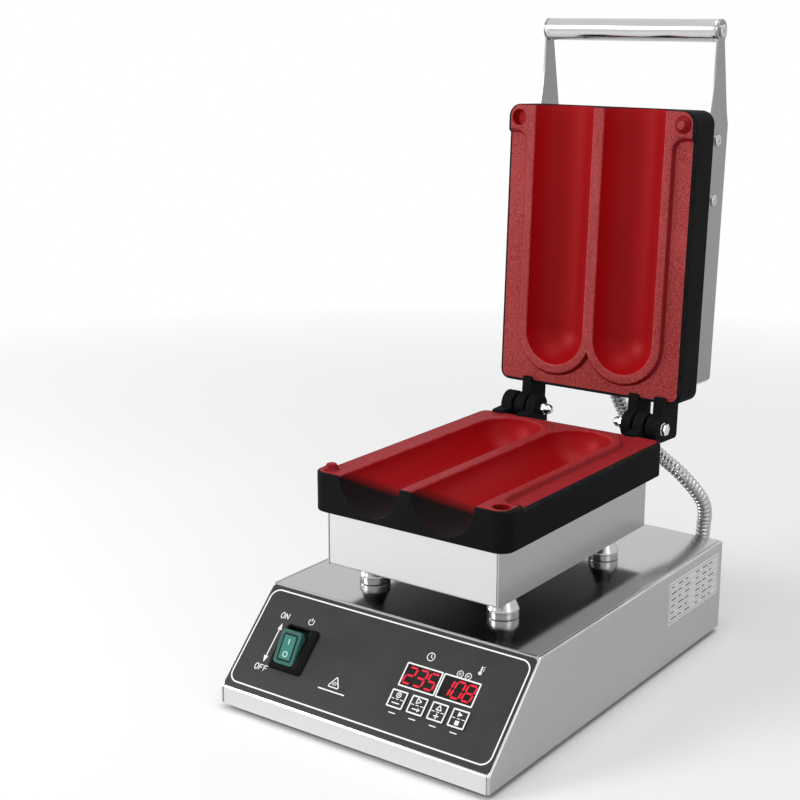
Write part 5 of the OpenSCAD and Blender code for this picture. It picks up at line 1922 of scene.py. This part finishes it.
@dataclass
class Lid:
    """The upper housing, its two handle arms, the bar and their screws, drawn closed and turned open."""

    half_w: float = 81.5
    y0: float = -101.3
    z0: float = 219.2
    z1: float = 261.2
    bend: float = 2.2
    arm: float = 2.0
    bar_y: float = -177.8
    bar_z: float = 234.8
    bar_r: float = 9.5
    arm_rear: float = 3.0
    arm_w: float = 37.0
    screw_y: Pair = (-87.8, -37.4)
    screw_z: float = 239.7

    def housing(self) -> Shell:
        """A shallow box with rounded bends, closed on top, drawn from its rim up.

        Returns:
            The box.
        """
        q, r, z0 = quarter(5), self.bend, self.z0
        inset = joined([[14.0, 1.2, 0.9, 0.2, 0.0], r * (1 - np.cos(q))])
        z = joined([z0 + np.array([0.05, 0.05, 0.1, 0.5, 1.2]), self.z1 - r + r * np.sin(q)])
        wear = joined([[0, 0, 0.6, 1.0, 0.0], np.sin(2 * q) ** 2])
        base = box_outline(2 * self.half_w, LID_REAR - self.y0, 2.4, 0.0, (self.y0 + LID_REAR) / 2, 6)
        return Shell().loft(Opened(STANDING)(at_heights(drawn_in(base, inset), z)), wear)

    def seams(self) -> Shell:
        """The dark lines where the housing's corner flanges meet, as shallow strips on its end faces.

        Returns:
            The strips.
        """
        made = Shell()
        place = Opened(Place((0, 0, 0), (1, 0, 0), (0, 0, 1), (0, 1, 0)))
        for x in (3.2 - self.half_w, self.half_w - 3.2):
            line = box_outline(0.35, self.z1 - self.z0 - 5, 0.1, x, (self.z0 + self.z1) / 2, 1)
            for y in (self.y0, LID_REAR):
                made.prism(line, y - 0.02, y + 0.02, place, 0.004, 1)
        return made

    def arm_outline(self) -> Rows:
        """The arm in its side view: an eye round the bar, a neck that widens, and the strip to the rear.

        Returns:
            The outline's points.
        """
        top, low, end = self.z1 - 2.0, self.z1 - 2.0 - self.arm_w, LID_REAR - self.arm_rear
        y, z = self.bar_y, self.bar_z
        eye = on_circle(np.radians(np.linspace(42, 305, 32)), self.bar_r, y, z)
        corners = [eye[-1], [y + 6.9, z - 6.6], [y + 40.0, z - 6.6], [self.y0, low], [end, low], [end, top],
                   [self.y0 + 0.5, top], [self.y0 - 10.0, top - 4.0], [y + 7.0, z + 6.8]]
        rest = rounded(np.array(corners), np.array([0.1, 1.5, 150.0, 60.0, 2.5, 2.5, 6.0, 6.0, 0.1]), 4)
        return joined([eye, rest[5:-5]])

    def arm_piece(self) -> Shell:
        """The right arm, with rounded edges."""
        inner, outer = self.half_w + 0.02, self.half_w + self.arm
        return Shell().prism(self.arm_outline(), inner, outer, Opened(SIDE_VIEW), (0.2, 0.45))

    def bar(self) -> Shell:
        """The bar: a polished tube with a faint ring near each end.

        Returns:
            The bar.
        """
        h, r = self.half_w, self.bar_r
        end = np.array([[-0.9, 0.03], [-0.3, 0.2], [0.0, 0.8], [0.0, 3.2], [-0.25, 3.4], [-0.25, 3.7],
                        [0.0, 3.9]]) + (r, -h)
        profile = joined([[[0.0, 0.03 - h]], end, [[r, -20.0], [r, 20.0]], end[::-1] * (1.0, -1.0),
                                  [[0.0, h - 0.03]]])
        return Shell().lathe(profile, Opened(facing_out(1, 0.0, self.bar_y, self.bar_z)), 64, closed=False)

    def screws(self, spots: list[Pair], radius: float, shank: float) -> Shell:
        """Pan heads on the outside of both arms.

        Args:
            spots: y and z of each.
            radius: the radius of the heads.
            shank: the length of the shanks.

        Returns:
            The screws.
        """
        made = Shell()
        for side in (-1, 1):
            for y, z in spots:
                at = facing_out(side, side * (self.half_w + self.arm), y, z)
                made.join(cross_head(radius, 2.6, Opened(at), shank))
        return made

    def build(self) -> None:
        """Makes the lid's pieces."""
        set_up("lid_housing", self.housing(), Finishes.LID, "lid", ("upper_housing",))
        set_up("lid_seams", self.seams(), Finishes.GLAND, "lid")
        # The arms wear a dark copy of the lid steel: painted shade.
        for hand, side in SIDES:
            set_up(f"handle_arm_{side}", self.arm_piece().on_side(hand), Finishes.ARM, "lid",
                   (f"arm_{side}",))
        set_up("grip_bar", self.bar(), Finishes.CHROME, "lid", ("handle_bar",))
        on_arms = self.screws([(y, self.screw_z) for y in self.screw_y], 4.75, 6.0)
        set_up("arm_pan_screws", on_arms, Finishes.SCREW, "lid", ("arm_screws",))
        on_bar = self.screws([(self.bar_y, self.bar_z)], 5.25, 10.0)
        set_up("grip_pan_screws", on_bar, Finishes.SCREW, "lid", ("handle_screws",))
        dress_heater("upper")


# ---------- conduit, rear fittings, inside ----------


@dataclass
class Conduit:
    """The flexible metal conduit between the rear of the case and the end of the upper housing."""

    radius: float = 6.5
    pitch: float = 4.0
    depth: float = 0.75
    route: tuple[Point, ...] = (
        (90, 199, 52), (90, 207, 52), (89, 215, 55), (88, 222, 61), (87, 226, 70), (87, 227, 80),
        (88, 226, 90), (87, 223, 101), (82, 218, 112), (75, 213, 122), (66, 210, 131), (56, 210, 137),
        (45, 210, 144), (34, 210, 151), (24, 211, 160), (14, 212, 171), (6, 212, 183), (0, 212, 195.5))

    def line(self, count: int) -> tuple[Rows, Rows, Rows]:
        """A cubic through the route.

        Each span is a Hermite cubic whose end slopes are half the difference of the neighbouring points.

        Args:
            count: how many points, an equal run apart.

        Returns:
            The points, their unit directions and their run from the start.
        """
        p = np.array(self.route, float)
        slope = np.gradient(p, axis=0)
        t = np.linspace(0, len(p) - 1 - 1e-9, count)
        i = t.astype(int)
        f = (t - i)[:, None]
        h00, h10 = 2 * f**3 - 3 * f**2 + 1, f**3 - 2 * f**2 + f
        h01, h11 = -2 * f**3 + 3 * f**2, f**3 - f**2
        points = h00 * p[i] + h10 * slope[i] + h01 * p[i + 1] + h11 * slope[i + 1]
        run = joined([[0.0], np.cumsum(np.linalg.norm(np.diff(points, axis=0), axis=1))])
        even = np.linspace(0, run[-1], count)
        points = np.stack([np.interp(even, run, points[:, k]) for k in range(3)], 1)
        d = np.gradient(points, axis=0)
        return points, d / np.linalg.norm(d, axis=1, keepdims=True), even

    def tube(self) -> Shell:
        """The wound strip: radius = r - depth * profile(run / pitch - angle / 2 pi), a helical rib.

        The profile is flat on top of each turn and falls into a narrow joint between turns.

        Returns:
            The tube.
        """
        points, d, run = self.line(900)
        aside = np.cross(d, np.array([1.0, 0.2, 1.0]))
        aside /= np.linalg.norm(aside, axis=1, keepdims=True)
        other = np.cross(d, aside)
        t = np.arange(40) * 2 * np.pi / 40
        phase = run[:, None] / self.pitch - t[None, :] / (2 * np.pi)
        wave = np.abs(((phase % 1.0) - 0.5) * 2)
        r = self.radius - self.depth * np.clip((wave - 0.35) / 0.55, 0, 1) ** 1.5
        ends = np.minimum(run, run[-1] - run)[:, None]
        r = np.where(ends < 1.0, np.minimum(r, self.radius - 0.4), r)[..., None]
        unit = np.cos(t)[None, :, None] * aside[:, None] + np.sin(t)[None, :, None] * other[:, None]
        return Shell().loft(points[:, None] + r * unit)

    def build(self) -> None:
        """Makes the conduit, which runs from the base to the lid, as a piece of its own that moves with
        neither body.
        """
        obj = set_up("wound_conduit", self.tube(), Finishes.CONDUIT, sharp=60,
                     weighted=False)
        world = obj.matrix_world.copy()
        obj.parent = None
        obj.matrix_world = world
        del obj["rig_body"]
        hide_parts("conduit")
        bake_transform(obj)


@dataclass
class RatingLabel:
    """The blank label on the right side: a plate, and ruled lines with plain bars in place of words."""

    x: float = 125.0
    y: float = 82.5
    z: float = 38.5
    length: float = 94.0
    height: float = 37.0
    sheet: float = 0.3
    margin: float = 2.0
    rows: int = 6
    bar: float = 1.3

    def plate(self) -> Shell:
        """The plate.

        Returns:
            The plate.
        """
        l, h = self.length, self.height
        outline = box_outline(l, h, 1.5, self.y + l / 2, self.z + h / 2)
        return Shell().prism(outline, self.x, self.x + self.sheet, SIDE_VIEW, (0.01, 0.08))

    def ink(self) -> Shell:
        """The frame, the rules between the rows, and six bars in each row.

        Returns:
            The lines.
        """
        low, high, middle = self.x + self.sheet - 0.02, self.x + self.sheet + 0.03, self.y + self.length / 2
        l, h = self.length - 2 * self.margin, self.height - 2 * self.margin
        border = box_outline(l, h, 1.0, middle, self.z + self.height / 2, 3)
        made = Shell().ribbon(border, 0.35, low, high, SIDE_VIEW, True)
        pitch = h / self.rows
        for row in range(self.rows):
            z = self.z + self.height - self.margin - (row + 0.5) * pitch
            if row:
                rule = box_outline(l, 0.22, 0.05, middle, z + pitch / 2, 1)
                made.prism(rule, low, high, SIDE_VIEW, 0.01, 1)
            for column, word in np.ndindex(2, 3):
                w = 5.0 + 1.7 * ((3 * row + 2 * word + column) % 4)
                y = self.y + 5.0 + 45.0 * column + 12.5 * word + w / 2
                made.prism(box_outline(w, self.bar, 0.15, y, z, 1), low, high, SIDE_VIEW, 0.01, 1)
        return made

    def build(self) -> None:
        """Makes the label."""
        set_up("rating_label", self.plate(), Finishes.LABEL, stands_for=("rating_plate",))
        set_up("rating_label_lines", self.ink(), Finishes.LABEL_INK)


@dataclass(frozen=True)
class Fitting:
    """A turned fitting: a flange with a hexagon, and a barrel with grooves, open at its bore."""

    bore: float = 5.0
    barrel: float = 7.5
    length: float = 14.0

    def made_at(self, place: Placing) -> Shell:
        """The fitting with its flange on a wall.

        Args:
            place: its axes, which point out of the wall.

        Returns:
            The fitting.
        """
        bore, r, l = self.bore, self.barrel, self.length
        ridge = np.linspace(6.0, l - 3.0, 13)
        wave = r + 1.0 - 0.35 * (np.arange(13) % 2)
        foot = [[bore, -6.5], [r, -6.5], [r, 0.02], [r + 2.6, 0.02], [r + 3.0, 0.5], [r + 3.0, 3.4],
                [r + 2.4, 4.0], [r + 1.2, 4.6]]
        tip = [[r + 1.0, l - 2.2], [r, l], [bore, l]]
        return Shell().lathe(joined([foot, np.stack([wave, ridge], 1), tip]), place, 48)


def build_fittings() -> None:
    """Makes the two conduit fittings and the cord gland."""
    on_case, on_lid = facing_rear(90.0, CASE_REAR, 52.0), Opened(facing_rear(0.0, LID_REAR, 240.2))
    set_up("case_conduit_fitting", Fitting().made_at(on_case), Finishes.TURNED, "base",
           ("base_connector",))
    set_up("lid_conduit_fitting", Fitting().made_at(on_lid), Finishes.TURNED, "lid", ("lid_connector",))
    gland = Fitting(4.0, 8.0, 20.0).made_at(facing_rear(-70.0, CASE_REAR, 36.0))
    set_up("cord_gland", gland, Finishes.GLAND, stands_for=("mains_gland",))


def dress_inside() -> None:
    """Finishes for what the closed case hides."""
    for node, finish, slot in (("displays", Finishes.LENS, "display_red"),
                               ("control_board", Finishes.BOARD, "board_green"),
                               ("tact_switches", Finishes.PARTS, "switch_parts"),
                               ("board_standoffs", Finishes.NYLON, "nylon_white"),
                               ("transformer", Finishes.IRON, "coil_iron"),
                               ("relay", Finishes.RELAY, "relay_case"),
                               ("terminal_block", Finishes.NYLON, "nylon_white")):
        dress(node, finish)


# ---------- floor, light and camera ----------


@dataclass(frozen=True)
class PaleFloor(Finish):
    """Matt pale floor that fades into the white background away from the press, in metres."""

    title: str = "floor_pale"
    tone: Colour = (0.80, 0.80, 0.795)
    other: Colour = (0.82, 0.82, 0.815)
    near: float = 0.5
    far: float = 1.6

    def wire(self, net: MaterialNet) -> None:
        """Mixes the matt floor with plain white by distance, for the rays that see the background.

        Args:
            net: the material's nodes.
        """
        patch = net.effect(Effect.CLOUD, Size=3.0, Contrast=0.5)
        net.give(Base_Color=net.blend(patch, self.tone, self.other), Roughness=0.75)
        away = net.node("ShaderNodeVectorMath", {0: net.place}, operation="LENGTH").outputs["Value"]
        path = net.node("ShaderNodeLightPath").outputs
        seen = net.math("MAXIMUM", path["Is Camera Ray"], path["Is Glossy Ray"])
        amount = net.math("MULTIPLY", net.spread(away, self.near, self.far), seen)
        white = net.node("ShaderNodeEmission", {"Color": WHITE, "Strength": 1.0}).outputs[0]
        mixed = net.node("ShaderNodeMixShader", {0: amount, 1: net.shader.outputs[0], 2: white}).outputs[0]
        net.put(net.tree.nodes["Material Output"].inputs["Surface"], mixed)


def stand_at(obj: Object, place: Vector, aim: Vector) -> None:
    """Links an object to the scene at a place, with its -z axis towards an aim.

    Args:
        obj: a lamp or the camera.
        place: where it stands, in metres.
        aim: what it faces, in metres.
    """
    bpy.context.scene.collection.objects.link(obj)
    obj.location = place
    obj.rotation_euler = (aim - place).to_track_quat("-Z", "Y").to_euler()


@dataclass
class Studio:
    """A pale floor, a white background, soft lamps and the camera."""

    eye: Point = (636.1, -986.4, 533.0)
    aim: Point = (-51.59, -47.97, 231.25)
    lens: float = 68.517
    ambient: float = 0.42
    lamps: tuple[tuple[str, Point, float, float], ...] = (
        ("key", (-1.3, -1.6, 1.3), 0.9, 26.0), ("left", (-1.6, -0.6, 0.3), 0.5, 12.0),
        ("top", (0.3, 0.1, 1.9), 1.4, 18.0), ("fill", (1.9, -0.6, 0.9), 0.9, 4.0))
    lit: Point = (0.0, 0.0, 0.22)

    def world(self) -> None:
        """White where the camera, a reflection or a refraction sees it, and dimmer as light on surfaces."""
        world = bpy.data.worlds.new("studio")
        bpy.context.scene.world = world
        world.use_nodes = True
        net = Net(world.node_tree)
        soft = net.node("ShaderNodeBackground", {"Color": WHITE, "Strength": self.ambient}).outputs[0]
        white = net.node("ShaderNodeBackground", {"Color": WHITE, "Strength": 1.0}).outputs[0]
        path = net.node("ShaderNodeLightPath").outputs
        seen = net.math("MAXIMUM", path["Is Camera Ray"],
                        net.math("MAXIMUM", path["Is Glossy Ray"], path["Is Transmission Ray"]))
        mixed = net.node("ShaderNodeMixShader", {0: seen, 1: soft, 2: white})
        net.put(net.tree.nodes["World Output"].inputs["Surface"], mixed.outputs[0])

    def floor(self) -> None:
        """A wide pale floor just under the feet."""
        reach, z = 9000.0, -0.05
        corners = [[[x, y, z] for x in (-reach, reach)] for y in (-reach, reach)]
        obj = bpy.data.objects.new("floor", make_mesh("floor", Shell().grid(np.array(corners)), 30.0))
        bpy.context.scene.collection.objects.link(obj)
        obj.data.materials.append(PaleFloor().material())

    def camera(self) -> None:
        """The camera, on a line from its place to its aim."""
        data = bpy.data.cameras.new("camera")
        data.lens, data.sensor_width = self.lens, 36.0
        obj = bpy.data.objects.new("camera", data)
        stand_at(obj, Vector(self.eye) * MM, Vector(self.aim) * MM)
        bpy.context.scene.camera = obj

    def build(self) -> None:
        """Sets the stage, with square soft lamps that face the middle of the press."""
        bpy.context.scene.view_settings.view_transform = "Standard"
        self.world()
        self.floor()
        for name, place, size, power in self.lamps:
            data = bpy.data.lights.new(name, "AREA")
            data.size, data.energy, data.shape = size, power, "SQUARE"
            stand_at(bpy.data.objects.new(name, data), Vector(place), Vector(self.lit))
        self.camera()


def main() -> None:
    """Builds every sub-assembly, then the studio."""
    logging.basicConfig(level=logging.INFO, format="%(name)s: %(message)s")
    Case().build()
    ControlPanel().build()
    RockerSwitch().build()
    LowerUnit().build()
    CastPlate(32.5).build("lower_cast_plate", "lower_plate", "base", Place((0.0, PLATE_FRONT, LOWER_FACE)))
    CastPlate(36.0).build("upper_cast_plate", "upper_plate", "lid", TurnedOver())
    Hinges().build()
    Lid().build()
    Conduit().build()
    build_fittings()
    RatingLabel().build()
    dress_inside()
    Studio().build()


if __name__ == "__main__":
    main()
